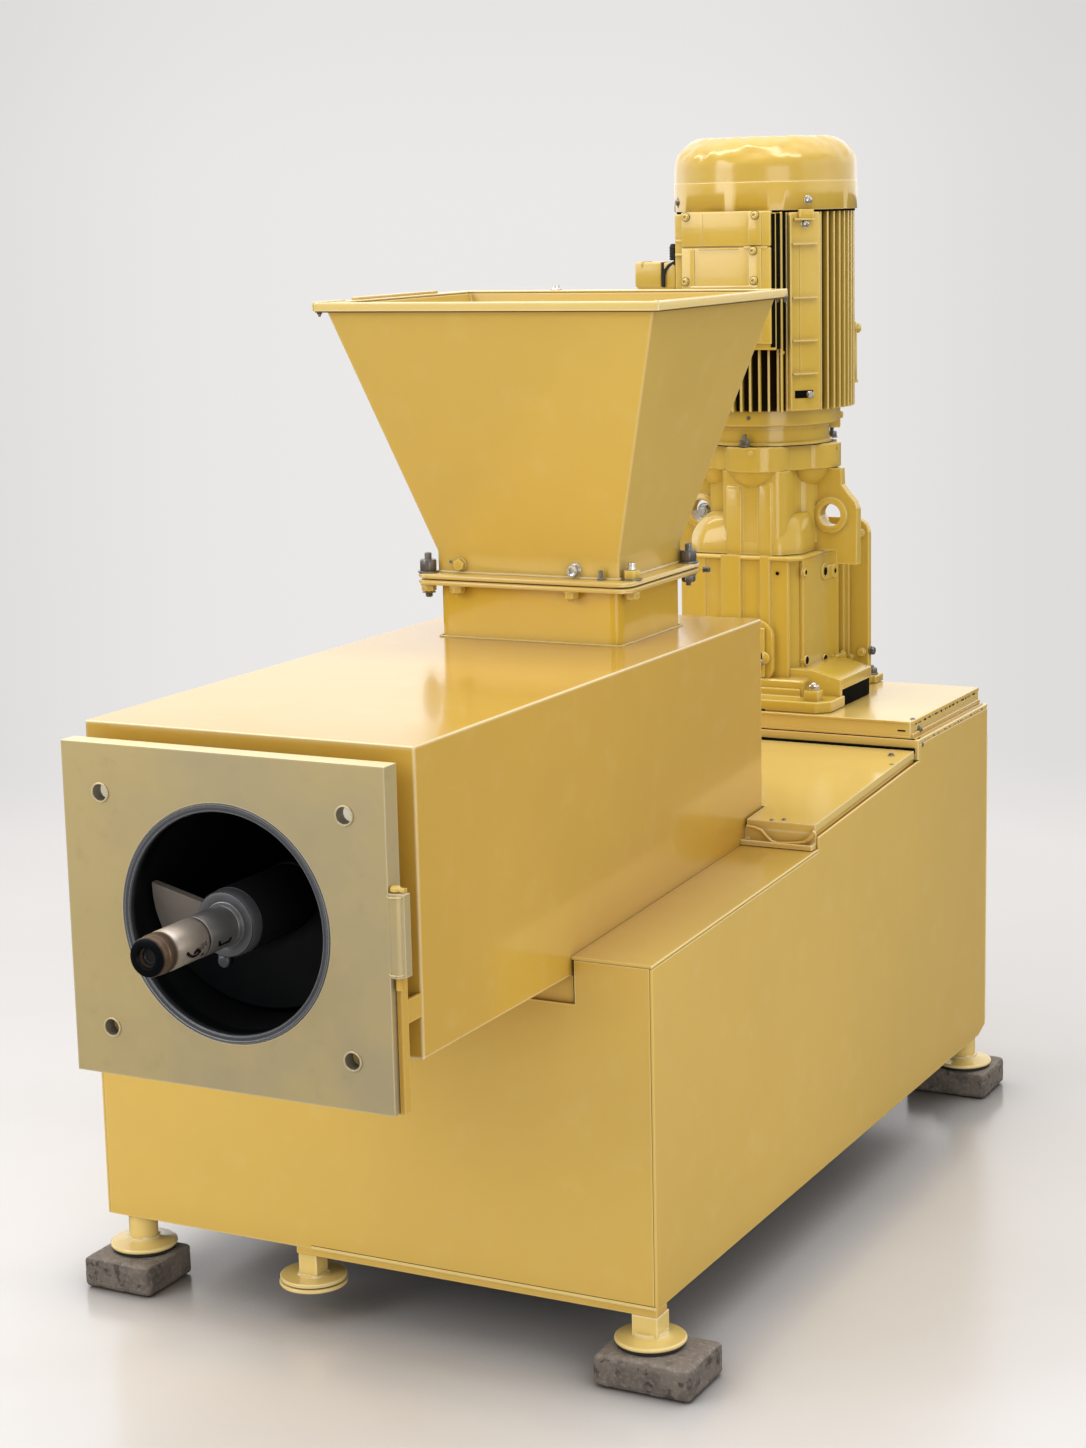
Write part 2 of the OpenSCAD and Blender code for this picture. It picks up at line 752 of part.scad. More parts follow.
lug_x = 106;
lug_z = 54;
module gearbox_bell() {
    lug_t = 16;
    eye_r = 16.5;
    boss_r = 27;
    boss_t = 22;
    waist_z = 50;
    color(paint) drive() difference() {
        union() {
            translate([0, 0, bell_z]) hull() {
                translate([gear_shift_x, 0, 0])
                    linear_extrude(1) cut_corner_rect(gear_w - 8, gear_l - 16, 30);
                translate([0, 0, waist_z]) cylinder(r = 78, h = 1, $fn = hull_fn);
            }
            translate([0, 0, bell_z + 12]) linear_extrude(bell_h - 12) lobed(88, 40);
            for (i = [-1, 1]) {
                translate([0, lug_t / 2, bell_z]) rotate([90, 0, 0])
                    linear_extrude(lug_t) lug_outline(i);
                translate([i * lug_x, boss_t / 2, bell_z + lug_z]) rotate([90, 0, 0])
                    cylinder(r = boss_r, h = boss_t);
            }
        }
        for (i = [-1, 1])
            translate([i * lug_x, gear_l, bell_z + lug_z]) rotate([90, 0, 0])
                cylinder(r = eye_r, h = 2 * gear_l);
    }
}

module gearbox_flange() {
    color(paint) drive() translate([0, 0, gear_flange_z])
        linear_extrude(gear_flange_t) lobed(gear_flange_r, 52);
}

module bearing_cover() {
    w = 106;
    h = 100;
    t = 14;
    r = 28;
    color(paint) drive() translate([0, -gear_l / 2, gear_z + h / 2]) rotate([90, 0, 0])
        linear_extrude(t) hull()
            for (i = [-1, 1], j = [-1, 1])
                translate([i * (w / 2 - r), j * (h / 2 - r)]) circle(r, $fn = hull_fn);
}

// Upright plate behind the gearbox, with a foot on the plinth
module rear_bracket() {
    t = 12;
    h = 260;
    half = gear_foot_w / 2 - 33;
    foot_half = gear_foot_w / 2 - 26;
    y = gear_l / 2 + gear_rib;
    r = 24;
    color(paint) drive() {
        translate([0, y + t, plinth_top_z]) rotate([90, 0, 0]) linear_extrude(t) hull() {
            translate([-half, 0]) square([2 * half, 10]);
            for (i = [-1, 1]) translate([i * (half - r), h - r]) circle(r, $fn = hull_fn);
        }
        block([-foot_half, y + t, plinth_top_z], [foot_half, y + t + 34, plinth_top_z + 12]);
    }
}

module motor_adapter() {
    color(paint) drive() {
        translate([0, 0, adapter_z]) cylinder(r = adapter_r, h = adapter_h);
        translate([0, 0, adapter_z + adapter_h]) cylinder(r = shield_r, h = shield_h);
    }
}

module motor_body() {
    fin_t = 3.5;
    color(paint) drive() translate([0, 0, fin_z]) linear_extrude(fin_h) {
        circle(fin_r - fin_depth);
        for (i = [0:fin_count - 1])
            rotate(i * 360 / fin_count)
                translate([fin_r - fin_depth - 4, -fin_t / 2]) square([fin_depth + 4, fin_t]);
    }
}

// Ribbed pads on the motor, where feet could be bolted on
PAD_ANGLES = [-43, 137];
RIB_DROPS = [44, 121, 183, 231];
module motor_pads() {
    pad_w = 50;
    pad_out = 12;
    web = 5;
    pad_h = fin_h - 5;
    heights = concat([pad_h], [for (d = RIB_DROPS) pad_h - d], [web]);
    color(paint) drive() for (a = PAD_ANGLES)
        rotate(a) translate([fin_r + 0.3, 0, fin_z]) difference() {
            translate([0, -pad_w / 2, 0]) cube([pad_out, pad_w, pad_h]);
            for (i = [0:len(heights) - 2])
                translate([web, -pad_w / 2 + web, heights[i + 1]])
                    cube([pad_out, pad_w - 2 * web, heights[i] - heights[i + 1] - web]);
        }
}

box_left = -84;
box_right = 75;
box_top = fin_z + fin_h - 5;
module terminal_box() {
    h = 196;
    depth = 34;
    out = fin_r - 22;
    color(paint) drive() difference() {
        block([box_left, -out - depth, box_top - h], [box_right, -fin_r * 0.5, box_top]);
        translate([0, 0, box_top - h - 1]) cylinder(r = fin_r + 0.3, h = h + 2);
    }
}

module auxiliary_box() {
    w = 64;
    drop = 70;
    h = 38;
    color(paint) drive() block([box_left - w, -141, box_top - drop - h],
                               [box_left, -112, box_top - drop]);
}

module fan_cowl() {
    wall = 2.9;
    skirt = 2;
    band_h = 38;
    shoulder_r = 26;
    shoulder_h = 25;
    bend = 12;
    r = cowl_r;
    h = cowl_h;
    low = h - shoulder_h - bend;
    // Outline from the foot of the wall to the top, t inside the outer face
    function outline(t) = concat(
        [[r - t, low]],
        [for (a = [0:15:45]) [r - bend + (bend - t) * cos(a), low + (bend - t) * sin(a)]],
        [for (a = [45:15:90]) [r - shoulder_r - bend + (bend - t) * cos(a), h - bend + (bend - t) * sin(a)]]);
    inner = outline(wall);
    color(paint) drive() translate([0, 0, cowl_z]) rotate_extrude()
        polygon(concat([[r - wall, -skirt], [r + 1, -skirt], [r + 1, band_h], [r, band_h + 1]],
            outline(0), [[0, h], [0, h - wall]],
            [for (i = [len(inner) - 1:-1:0]) inner[i]]));
}

machine() base_front_panel();
machine() base_right_panel();
machine() base_left_panel();
machine() base_rear_panel();
machine() ledge_covers();
machine() bottom_frame();
machine() barrel_saddle();
machine() deck_cover();
machine() deck_tray();
machine() plinth_lower();
machine() plinth_upper();
machine() foot_front_right();
machine() foot_front_left();
machine() foot_front_middle();
machine() foot_rear_right();
machine() foot_rear_left();
machine() foot_pads();
machine() support_bricks();
machine() barrel_housing();
machine() barrel_tube();
machine() neck();
machine() neck_flange();
machine() flange_gasket();
machine() hopper_flange();
machine() hopper_body();
machine() hopper_rim();
machine() front_plate();
machine() mouth_ring();
machine() hinge_post();
machine() worm_hub();
machine() worm_flight();
machine() shaft_journal();
machine() shaft_nose();
machine() gearbox_foot();
machine() gearbox_body();
machine() gearbox_bell();
machine() gearbox_flange();
machine() bearing_cover();
machine() rear_bracket();
machine() motor_adapter();
machine() motor_body();
machine() motor_pads();
machine() terminal_box();
machine() auxiliary_box();
machine() fan_cowl();
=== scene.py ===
import math
from collections import namedtuple

import bmesh
import bpy
from mathutils import Matrix, Vector, noise


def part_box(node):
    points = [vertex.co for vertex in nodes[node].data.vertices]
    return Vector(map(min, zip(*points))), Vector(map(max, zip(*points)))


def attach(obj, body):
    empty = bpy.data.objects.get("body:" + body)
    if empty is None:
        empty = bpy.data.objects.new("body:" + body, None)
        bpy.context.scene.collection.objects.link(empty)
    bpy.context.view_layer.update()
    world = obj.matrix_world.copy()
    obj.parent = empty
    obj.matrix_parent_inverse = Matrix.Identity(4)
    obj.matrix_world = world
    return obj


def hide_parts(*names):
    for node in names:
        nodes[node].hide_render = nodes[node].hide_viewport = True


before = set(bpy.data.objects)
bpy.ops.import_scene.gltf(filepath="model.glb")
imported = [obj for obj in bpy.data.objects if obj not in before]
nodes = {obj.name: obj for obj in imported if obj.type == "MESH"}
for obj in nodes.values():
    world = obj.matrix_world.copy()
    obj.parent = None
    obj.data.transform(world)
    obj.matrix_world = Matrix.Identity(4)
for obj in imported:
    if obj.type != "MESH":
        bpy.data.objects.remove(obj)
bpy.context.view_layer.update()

# Without a seed, noise_vector follows the clock and the welds differ from run to run.
noise.seed_set(1)
MM = 0.001
FRONT = (0, -1, 0)
RIGHT = (1, 0, 0)
UP = (0, 0, 1)
DOWN = (0, 0, -1)

# ---- Places: millimetres, x from the cabinet's centre, y from its front, z from the floor ----

centre_x = (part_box("base_left_panel")[0].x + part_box("base_right_panel")[1].x) / 2
front_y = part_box("base_right_panel")[0].y
MACHINE = Matrix.Translation((centre_x, front_y, 0)) @ Matrix.Scale(MM, 4)
TO_MACHINE = MACHINE.inverted()

Span = namedtuple("Span", "x0 y0 z0 x1 y1 z1 x y z")


def span(node):
    """The box of a CAD node, in millimetres, with its middle."""
    low, high = (TO_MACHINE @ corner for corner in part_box(node))
    return Span(*low, *high, *((low + high) / 2))


cabinet = span("base_right_panel")
housing = span("barrel_housing")
plate = span("front_plate")
ring = span("mouth_ring")
journal = span("shaft_journal")
nose = span("shaft_nose")
hub = span("worm_hub")
flange = span("hopper_flange")
neck_flange = span("neck_flange")
rim = span("hopper_rim")
gear = span("gearbox_body")
gear_flange = span("gearbox_flange")
adapter = span("motor_adapter")
motor = span("motor_body")
cowl = span("fan_cowl")
box = span("terminal_box")
bracket = span("rear_bracket")
gear_foot = span("gearbox_foot")
upper_plate = span("plinth_upper")
lower_plate = span("plinth_lower")
deck = span("deck_cover")
tray = span("deck_tray")
neck = span("neck")
barrel_x = ring.x
axis_z = ring.z
drive_x = gear_flange.x
drive_y = gear_flange.y

# ---- Camera ----

EYE = MACHINE @ Vector((1713.6, -2774.4, 1392.8))
AZIMUTH = math.radians(27.58)
ELEVATION = math.radians(10.81)
ROLL = math.radians(-1.31)
LENS = 68.08
SENSOR_WIDTH = 36


def link(name, data):
    """A new object in the scene."""
    made = bpy.data.objects.new(name, data)
    bpy.context.scene.collection.objects.link(made)
    return made


def make_camera():
    back = Vector((math.sin(AZIMUTH) * math.cos(ELEVATION),
                   -math.cos(AZIMUTH) * math.cos(ELEVATION), math.sin(ELEVATION)))
    level = (-back).cross(Vector(UP)).normalized()
    upright = level.cross(-back)
    right = level * math.cos(ROLL) + upright * math.sin(ROLL)
    top = upright * math.cos(ROLL) - level * math.sin(ROLL)
    data = bpy.data.cameras.new("camera")
    data.lens = LENS
    data.sensor_width = SENSOR_WIDTH
    camera = link("camera", data)
    camera.matrix_world = Matrix.Translation(EYE) @ Matrix((right, top, back)).transposed().to_4x4()
    bpy.context.scene.camera = camera


make_camera()

# ---- Shader building ----


def add(tree, kind, inputs=None, **settings):
    """A new shader node with its settings, and values or links for its inputs."""
    made = tree.nodes.new("ShaderNode" + kind)
    for key, value in settings.items():
        setattr(made, key, value)
    for key, value in (inputs or {}).items():
        if isinstance(value, bpy.types.NodeSocket):
            tree.links.new(value, made.inputs[key])
        else:
            made.inputs[key].default_value = value
    return made


def maths(tree, operation, a, b=0.0, clamp=False):
    return add(tree, "Math", {0: a, 1: b}, operation=operation, use_clamp=clamp).outputs[0]


def vector_maths(tree, operation, a, b=None, output="Vector"):
    inputs = {0: a} if b is None else {0: a, 1: b}
    return add(tree, "VectorMath", inputs, operation=operation).outputs[output]


def clouds(tree, place, scale, detail):
    """Soft noise between 0 and 1."""
    return add(tree, "TexNoise", {"Vector": place, "Scale": scale, "Detail": detail}).outputs[0]


def ramp(tree, value, low, high, to_low=0.0, to_high=1.0):
    """A value moved smoothly from one range to another."""
    return add(tree, "MapRange", {"Value": value, "From Min": low, "From Max": high,
                                  "To Min": to_low, "To Max": to_high},
               interpolation_type="SMOOTHSTEP").outputs[0]


def opaque(colour):
    """A colour of three numbers with its alpha. A link stays as it is."""
    return (*colour, 1) if isinstance(colour, tuple) else colour


def blend(tree, factor, a, b):
    """One colour over another."""
    return add(tree, "Mix", {0: factor, 6: opaque(a), 7: opaque(b)}, data_type="RGBA").outputs[2]


def tint(tree, colour, mask, amount, tone):
    """A colour with a tone over it where the mask is, as strongly as the amount."""
    return blend(tree, maths(tree, "MULTIPLY", mask, amount), colour, tone)


def new_group(name, inputs, outputs):
    """An empty node group. The inputs are (name, default) and the outputs are names."""
    tree = bpy.data.node_groups.new(name, "ShaderNodeTree")
    for label, default in inputs:
        kind = "NodeSocketVector" if default is None else "NodeSocketFloat"
        made = tree.interface.new_socket(label, in_out="INPUT", socket_type=kind)
        if default is not None:
            made.default_value = default
    for label in outputs:
        tree.interface.new_socket(label, in_out="OUTPUT", socket_type="NodeSocketFloat")
    return tree, tree.nodes.new("NodeGroupInput").outputs, tree.nodes.new("NodeGroupOutput").inputs


# On the enamel and the bare plate this mask puts painted highlights along the edges; on bare steel it
# puts worn, lighter edges.
def edge_wear_and_highlight_group():
    tree, given, out = new_group("edge wear and highlight", [("Radius", 0.003), ("Reach", 6.0)], ["Mask"])
    soft = add(tree, "Bevel", {"Radius": given["Radius"]}, samples=4).outputs[0]
    flat = add(tree, "NewGeometry").outputs["Normal"]
    leaning = maths(tree, "SUBTRACT", 1.0, vector_maths(tree, "DOT_PRODUCT", soft, flat, "Value"))
    tree.links.new(maths(tree, "MULTIPLY", leaning, given["Reach"], clamp=True), out["Mask"])
    return tree


def patches_group():
    tree, given, out = new_group(
        "patches", [("Vector", None), ("Scale", 4.0), ("Low", 0.4), ("High", 0.7)], ["Mask"])
    cloud = add(tree, "TexNoise", {"Vector": given["Vector"], "Scale": given["Scale"],
                                   "Detail": 4.0, "Roughness": 0.55})
    tree.links.new(ramp(tree, cloud.outputs[0], given["Low"], given["High"]), out["Mask"])
    return tree


# An occlusion mask. It puts painted shade in wide corners, under things and on the floor near the
# machine, and brown dirt with painted shade in tight corners of the enamel.
def crevice_group():
    tree, given, out = new_group("crevice shade and grime", [("Distance", 0.02), ("Reach", 1.4)], ["Mask"])
    shelter = add(tree, "AmbientOcclusion", {"Distance": given["Distance"]}, samples=6)
    closed = maths(tree, "SUBTRACT", 1.0, shelter.outputs["AO"])
    tree.links.new(maths(tree, "MULTIPLY", closed, given["Reach"], clamp=True), out["Mask"])
    return tree


def peel_group():
    tree, given, out = new_group(
        "orange peel", [("Vector", None), ("Scale", 260.0), ("Waves", 7.0)], ["Height"])
    fine = clouds(tree, given["Vector"], given["Scale"], 1.0)
    swell = maths(tree, "MULTIPLY", clouds(tree, given["Vector"], given["Waves"], 1.0), 9.0)
    tree.links.new(maths(tree, "ADD", fine, swell), out["Height"])
    return tree


EDGE_WEAR_AND_HIGHLIGHT = edge_wear_and_highlight_group()
PATCHES = patches_group()
CREVICE = crevice_group()
PEEL = peel_group()


def use(tree, group, inputs=None):
    """A node group placed in a material."""
    return add(tree, "Group", inputs, node_tree=group).outputs[0]


def patches(tree, place, scale, low, high):
    return use(tree, PATCHES, {"Vector": place, "Scale": scale, "Low": low, "High": high})


def edge_wear_and_highlight(tree, radius, reach):
    return use(tree, EDGE_WEAR_AND_HIGHLIGHT, {"Radius": radius, "Reach": reach})


def crevice(tree, distance, reach):
    return use(tree, CREVICE, {"Distance": distance, "Reach": reach})


def up_facing(tree, low, high):
    """How far a face looks up, from 0 to 1."""
    normal = add(tree, "NewGeometry").outputs["Normal"]
    return ramp(tree, add(tree, "SeparateXYZ", {0: normal}).outputs[2], low, high)


def new_finish(name):
    """A material with its Principled shader, and the place on the machine as its texture space."""
    material = bpy.data.materials.new(name)
    material.use_nodes = True
    tree = material.node_tree
    shader = tree.nodes["Principled BSDF"]
    place = add(tree, "TexCoord").outputs["Object"]
    return material, tree, shader, place


def wire(tree, shader, **links):
    """Sets or links the shader's sockets, written with _ for spaces."""
    for key, value in links.items():
        socket = shader.inputs[key.replace("_", " ")]
        if isinstance(value, bpy.types.NodeSocket):
            tree.links.new(value, socket)
        else:
            socket.default_value = value


def bump(tree, height, strength, distance):
    return add(tree, "Bump", {"Height": height, "Strength": strength, "Distance": distance}).outputs[0]


# ---- Finishes ----

# Painted light and shade: the paint is one ochre. The cabinet, deck, rim and feet get paler copies of it
# as painted light, and the housing and hinge post a deeper copy as painted shade.
OCHRE = (0.64, 0.437, 0.088)
CABINET_OCHRE = (0.71, 0.478, 0.108)
DECK_OCHRE = (0.76, 0.555, 0.165)
HOUSING_OCHRE = (0.60, 0.372, 0.058)
RIM_OCHRE = (0.74, 0.55, 0.17)
NECK_OCHRE = (0.66, 0.42, 0.03)
LEDGE_OCHRE = (0.60, 0.42, 0.10)
FOOT_OCHRE = (0.80, 0.60, 0.20)
CAST_OCHRE = (0.615, 0.42, 0.062)
COWL_OCHRE = (0.57, 0.378, 0.052)
OCHRE_PALE = (0.90, 0.76, 0.42)
EDGE_HIGHLIGHT_CREAM = (0.97, 0.90, 0.66)
EDGE_HIGHLIGHT_GOLD = (0.93, 0.75, 0.32)
GRIME_AND_SHADE = (0.20, 0.115, 0.022)
GAP_SHADE_BLACK = (0.022, 0.013, 0.004)
SHADED_BROWN = (0.40, 0.195, 0.016)
BAND_BROWN = (0.13, 0.088, 0.062)
# Soot on the nose's tip; on the ring and the blade, painted shade deep in the bore.
SOOT_AND_BORE_SHADE = (0.005, 0.0058, 0.007)
CORNER_REACH = 0.012
SHELTER_REACH = 0.13


def enamel(name, paint, peel=0.08, grain=240.0, dirt_and_shade=0.9, hollow=None, shade=0.0, rough=0.17,
           coat=0.2, coat_rough=0.05, edge_r=0.0032, edge_reach=8.0, edge_mix=0.85,
           edge_tone=EDGE_HIGHLIGHT_CREAM):
    """Glossy ochre enamel: soft changes of tone, painted highlights on the edges, and brown dirt with
    painted shade in the corners.

    A hollow is (x, y, inner radius, outer radius) of an upright axis, with painted shade, near black,
    towards its inner radius.
    Shade is how strongly painted shade deepens the wide inside corners.
    """
    material, tree, shader, place = new_finish(name)
    broad = patches(tree, place, 1.7, 0.35, 0.68)
    small = patches(tree, place, 23.0, 0.5, 0.8)
    edge = edge_wear_and_highlight(tree, edge_r, edge_reach)
    corner = crevice(tree, CORNER_REACH, dirt_and_shade)
    colour = blend(tree, broad, paint, tuple(part * 0.93 for part in paint))
    colour = tint(tree, colour, small, 0.06, OCHRE_PALE)
    if shade:
        colour = tint(tree, colour, crevice(tree, SHELTER_REACH, 1.3), shade, SHADED_BROWN)
    # Painted highlights on the edges.
    colour = tint(tree, colour, edge, edge_mix, edge_tone)
    # Painted shade and dirt: brown in tight corners, from the occlusion mask.
    colour = tint(tree, colour, corner, 0.55, GRIME_AND_SHADE)
    # Painted shade: the fin gaps turn near black and lose their gloss towards the inner radius.
    if hollow:
        axis_x, axis_y, inner, outer = hollow
        from_axis = vector_maths(tree, "SUBTRACT", place, MACHINE @ Vector((axis_x, axis_y, 0)))
        level = vector_maths(tree, "MULTIPLY", from_axis, (1, 1, 0))
        away = vector_maths(tree, "LENGTH", level, output="Value")
        deep = ramp(tree, away, inner * MM, outer * MM, 1.0, 0.0)
        colour = blend(tree, deep, colour, GAP_SHADE_BLACK)
        gloss = maths(tree, "SUBTRACT", 1.0, deep)
        wire(tree, shader, Specular_IOR_Level=maths(tree, "MULTIPLY", gloss, 0.5),
             Coat_Weight=maths(tree, "MULTIPLY", gloss, coat))
    else:
        wire(tree, shader, Coat_Weight=coat)
    height = use(tree, PEEL, {"Vector": place, "Scale": grain, "Waves": 6.0})
    wire(tree, shader, Base_Color=colour, Roughness=ramp(tree, broad, 0.0, 1.0, rough, rough + 0.07),
         Coat_Roughness=coat_rough, Normal=bump(tree, height, peel, 0.0006))
    return material


def bare_plate():
    """Warm tan bare plate with soft cloudy marks, painted highlights on the edges and painted light on
    the upward faces.
    """
    material, tree, shader, place = new_finish("tan bare plate")
    cloud = patches(tree, place, 3.6, 0.36, 0.66)
    spots = patches(tree, place, 38.0, 0.55, 0.8)
    edge = edge_wear_and_highlight(tree, 0.003, 2.4)
    up = up_facing(tree, 0.5, 0.9)
    colour = blend(tree, cloud, (0.63, 0.50, 0.235), (0.48, 0.40, 0.235))
    colour = tint(tree, colour, spots, 0.18, (0.34, 0.27, 0.15))
    # Painted highlights on the edges, and painted light on the upward faces, which are also less
    # metallic.
    colour = tint(tree, colour, edge, 0.8, (0.95, 0.88, 0.64))
    colour = tint(tree, colour, up, 0.5, (0.93, 0.81, 0.50))
    brushed = add(tree, "Mapping", {"Vector": place, "Scale": (6.0, 6.0, 240.0)}).outputs[0]
    wire(tree, shader, Base_Color=colour, Metallic=ramp(tree, up, 0.0, 1.0, 0.55, 0.1),
         Roughness=ramp(tree, cloud, 0.0, 1.0, 0.40, 0.50),
         Normal=bump(tree, clouds(tree, brushed, 3.0, 2.0), 0.05, 0.0004))
    return material


def steel(name, colour, worn, metallic, rough, wear=0.6, scale=30.0, bands=(), shine=0.5,
          edge_r=0.0015):
    """Bare steel with a grain, a lighter edge and small darker marks.

    A band is (colour, y where it fades out, y where it is full), in machine millimetres.
    """
    material, tree, shader, place = new_finish(name)
    marks = patches(tree, place, scale, 0.42, 0.75)
    edge = edge_wear_and_highlight(tree, edge_r, 2.5)
    dark = tuple(0.6 * part for part in colour)
    tone = tint(tree, tint(tree, colour, marks, 0.6, dark), edge, wear, worn)
    depth = add(tree, "SeparateXYZ", {0: place}).outputs[1]
    ragged = maths(tree, "MULTIPLY", clouds(tree, place, 60.0, 3.0), 0.004)
    depth = maths(tree, "ADD", depth, ragged)
    gloss = shine
    for band, clear, full in bands:
        cover = ramp(tree, depth, front_y + clear * MM, front_y + full * MM)
        tone = blend(tree, cover, tone, band)
        gloss = maths(tree, "MULTIPLY", gloss, ramp(tree, cover, 0.0, 1.0, 1.0, 0.35))
    wire(tree, shader, Base_Color=tone, Metallic=metallic, Specular_IOR_Level=gloss,
         Roughness=ramp(tree, marks, 0.0, 1.0, rough, rough + 0.12),
         Normal=bump(tree, clouds(tree, place, 420.0, 2.0), 0.12, 0.0003))
    return material


def brick_clay():
    """Rough grey-brown pressed brick with pits and light dusty edges."""
    material, tree, shader, place = new_finish("grey brown brick")
    cloud = patches(tree, place, 22.0, 0.35, 0.7)
    grit = patches(tree, place, 170.0, 0.45, 0.75)
    pits = patches(tree, place, 75.0, 0.58, 0.66)
    edge = edge_wear_and_highlight(tree, 0.007, 2.6)
    colour = blend(tree, cloud, (0.165, 0.138, 0.115), (0.085, 0.074, 0.065))
    colour = tint(tree, colour, grit, 0.5, (0.27, 0.24, 0.21))
    colour = tint(tree, colour, pits, 0.75, (0.04, 0.034, 0.03))
    dust = ramp(tree, grit, 0.0, 1.0, 0.35, 0.6)
    colour = tint(tree, colour, up_facing(tree, 0.4, 0.9), dust, (0.36, 0.315, 0.27))
    colour = tint(tree, colour, edge, 0.6, (0.40, 0.36, 0.32))
    height = maths(tree, "SUBTRACT", maths(tree, "MULTIPLY", grit, 0.4), pits)
    wire(tree, shader, Base_Color=colour, Roughness=0.82, Specular_IOR_Level=0.3,
         Normal=bump(tree, height, 0.6, 0.0012))
    return material


SHEET = enamel("ochre enamel on the hopper", OCHRE, peel=0.10)
CABINET = enamel("ochre enamel on the cabinet, paled as painted light", CABINET_OCHRE, dirt_and_shade=0.55, shade=0.95, rough=0.13,
                 edge_mix=0.6, edge_tone=EDGE_HIGHLIGHT_GOLD)
POST = enamel("ochre enamel on the hinge post, deepened as painted shade", HOUSING_OCHRE, shade=0.95, edge_mix=0.2,
              edge_tone=EDGE_HIGHLIGHT_GOLD)
DECK = enamel("ochre enamel on the deck, paled as painted light", DECK_OCHRE, shade=0.3, rough=0.13, edge_mix=0.7)
HOUSING = enamel("ochre enamel on the housing, deepened as painted shade", HOUSING_OCHRE, peel=0.10, shade=0.5,
                 edge_r=0.0045, edge_reach=10.0)
RIM = enamel("ochre enamel on the rim, paled as painted light", RIM_OCHRE, peel=0.10)
NECK = enamel("deep ochre enamel on the neck", NECK_OCHRE, peel=0.15, grain=200.0, dirt_and_shade=1.2, coat=0.1)
LEDGE = enamel("ochre enamel on the ledges", LEDGE_OCHRE, dirt_and_shade=0.5, shade=0.85, rough=0.13,
               edge_mix=0.8, edge_tone=EDGE_HIGHLIGHT_GOLD)
FOOT = enamel("ochre enamel on the feet, paled as painted light", FOOT_OCHRE, peel=0.15, grain=150.0)
CAST = enamel("ochre enamel on castings", CAST_OCHRE, peel=0.22, grain=150.0, dirt_and_shade=1.2,
              edge_r=0.0045, edge_reach=4.5, edge_mix=0.65, edge_tone=EDGE_HIGHLIGHT_GOLD)
COWL = enamel("glossy ochre enamel on the cowl", COWL_OCHRE, peel=0.10, grain=150.0, dirt_and_shade=1.2,
              rough=0.20, coat=0.45, coat_rough=0.12, edge_mix=0.5)
FINNED = enamel("ochre enamel on fins", CAST_OCHRE, peel=0.22, grain=150.0, dirt_and_shade=1.2,
                hollow=(drive_x, drive_y, 117, 130), edge_r=0.003, edge_reach=5.0, edge_mix=0.6)
PLATE = bare_plate()
# Its band darkens the ring's inner face as painted shade deeper in the bore.
RING = steel("machined grey ring", (0.085, 0.09, 0.105), (0.62, 0.62, 0.60), 0.6, 0.40, wear=1.0,
             bands=[(SOOT_AND_BORE_SHADE, -400, -389)], edge_r=0.0028)
# Painted shade: the bore steel is coloured near black.
TUBE = steel("dark barrel bore", (0.0035, 0.004, 0.005), (0.02, 0.02, 0.022), 0.2, 0.55, wear=0.3,
             shine=0.25)
BLACK_STEEL = steel("oiled black steel", (0.012, 0.012, 0.014), (0.07, 0.07, 0.08), 0.4, 0.36)
# Its band darkens the blade further back as painted shade in the bore.
BLADE = steel("dull worm blade", (0.27, 0.235, 0.20), (0.45, 0.41, 0.36), 0.35, 0.42,
              bands=[(SOOT_AND_BORE_SHADE, -354, -338)])
JOURNAL = steel("dark turned steel", (0.19, 0.19, 0.19), (0.42, 0.41, 0.40), 0.75, 0.36)
NOSE = steel("worn shaft nose", (0.36, 0.315, 0.275), (0.60, 0.54, 0.48), 0.6, 0.36, wear=0.4,
             scale=45.0, bands=[(BAND_BROWN, -464, -460), (BAND_BROWN, -514, -523), (SOOT_AND_BORE_SHADE, -539, -544)])
COLLAR = steel("grey shaft collar", (0.16, 0.165, 0.175), (0.38, 0.38, 0.39), 0.75, 0.36)
BRIGHT = steel("worn bright steel", (0.50, 0.42, 0.36), (0.75, 0.70, 0.64), 0.85, 0.26)
BLUED = steel("dark bolt steel", (0.17, 0.16, 0.15), (0.50, 0.49, 0.47), 0.75, 0.34, wear=0.8,
              scale=160.0)
ZINC = steel("bright zinc", (0.62, 0.62, 0.60), (0.85, 0.85, 0.83), 0.95, 0.24)
# Painted shadow: near black for gaps, holes, slots and recesses where shade falls; also used for real
# dark marks on the shaft and along the plinth.
SHADOW_AND_MARK_BLACK = steel("shadow black", (0.006, 0.005, 0.004), (0.01, 0.01, 0.01), 0.0, 0.8, wear=0.0,
             shine=0.03)
THREAD = steel("shaded thread", (0.20, 0.175, 0.13), (0.55, 0.52, 0.44), 0.4, 0.4, wear=0.9)
# Painted shadow: a brown line under the hopper rim.
RIM_SHADOW_LINE = steel("brown seam shadow", (0.17, 0.10, 0.025), (0.25, 0.16, 0.05), 0.0, 0.6, wear=0.2,
             shine=0.1)
GLOWING_SPOT = steel("glowing pale face", (0.97, 0.93, 0.76), (0.98, 0.95, 0.8), 0.0, 0.6)
# Painted light: the pale face glows, standing in for the lit housing seen through the upper bolt holes.
wire(GLOWING_SPOT.node_tree, GLOWING_SPOT.node_tree.nodes["Principled BSDF"],
     Emission_Color=(1.0, 0.94, 0.74, 1), Emission_Strength=0.32)
RUBBER = steel("black rubber", (0.012, 0.012, 0.012), (0.04, 0.04, 0.04), 0.0, 0.75)
GASKET = steel("dark gasket", (0.07, 0.055, 0.035), (0.14, 0.11, 0.07), 0.0, 0.7)
BRICK = brick_clay()

# ---- Mesh building, in millimetres ----

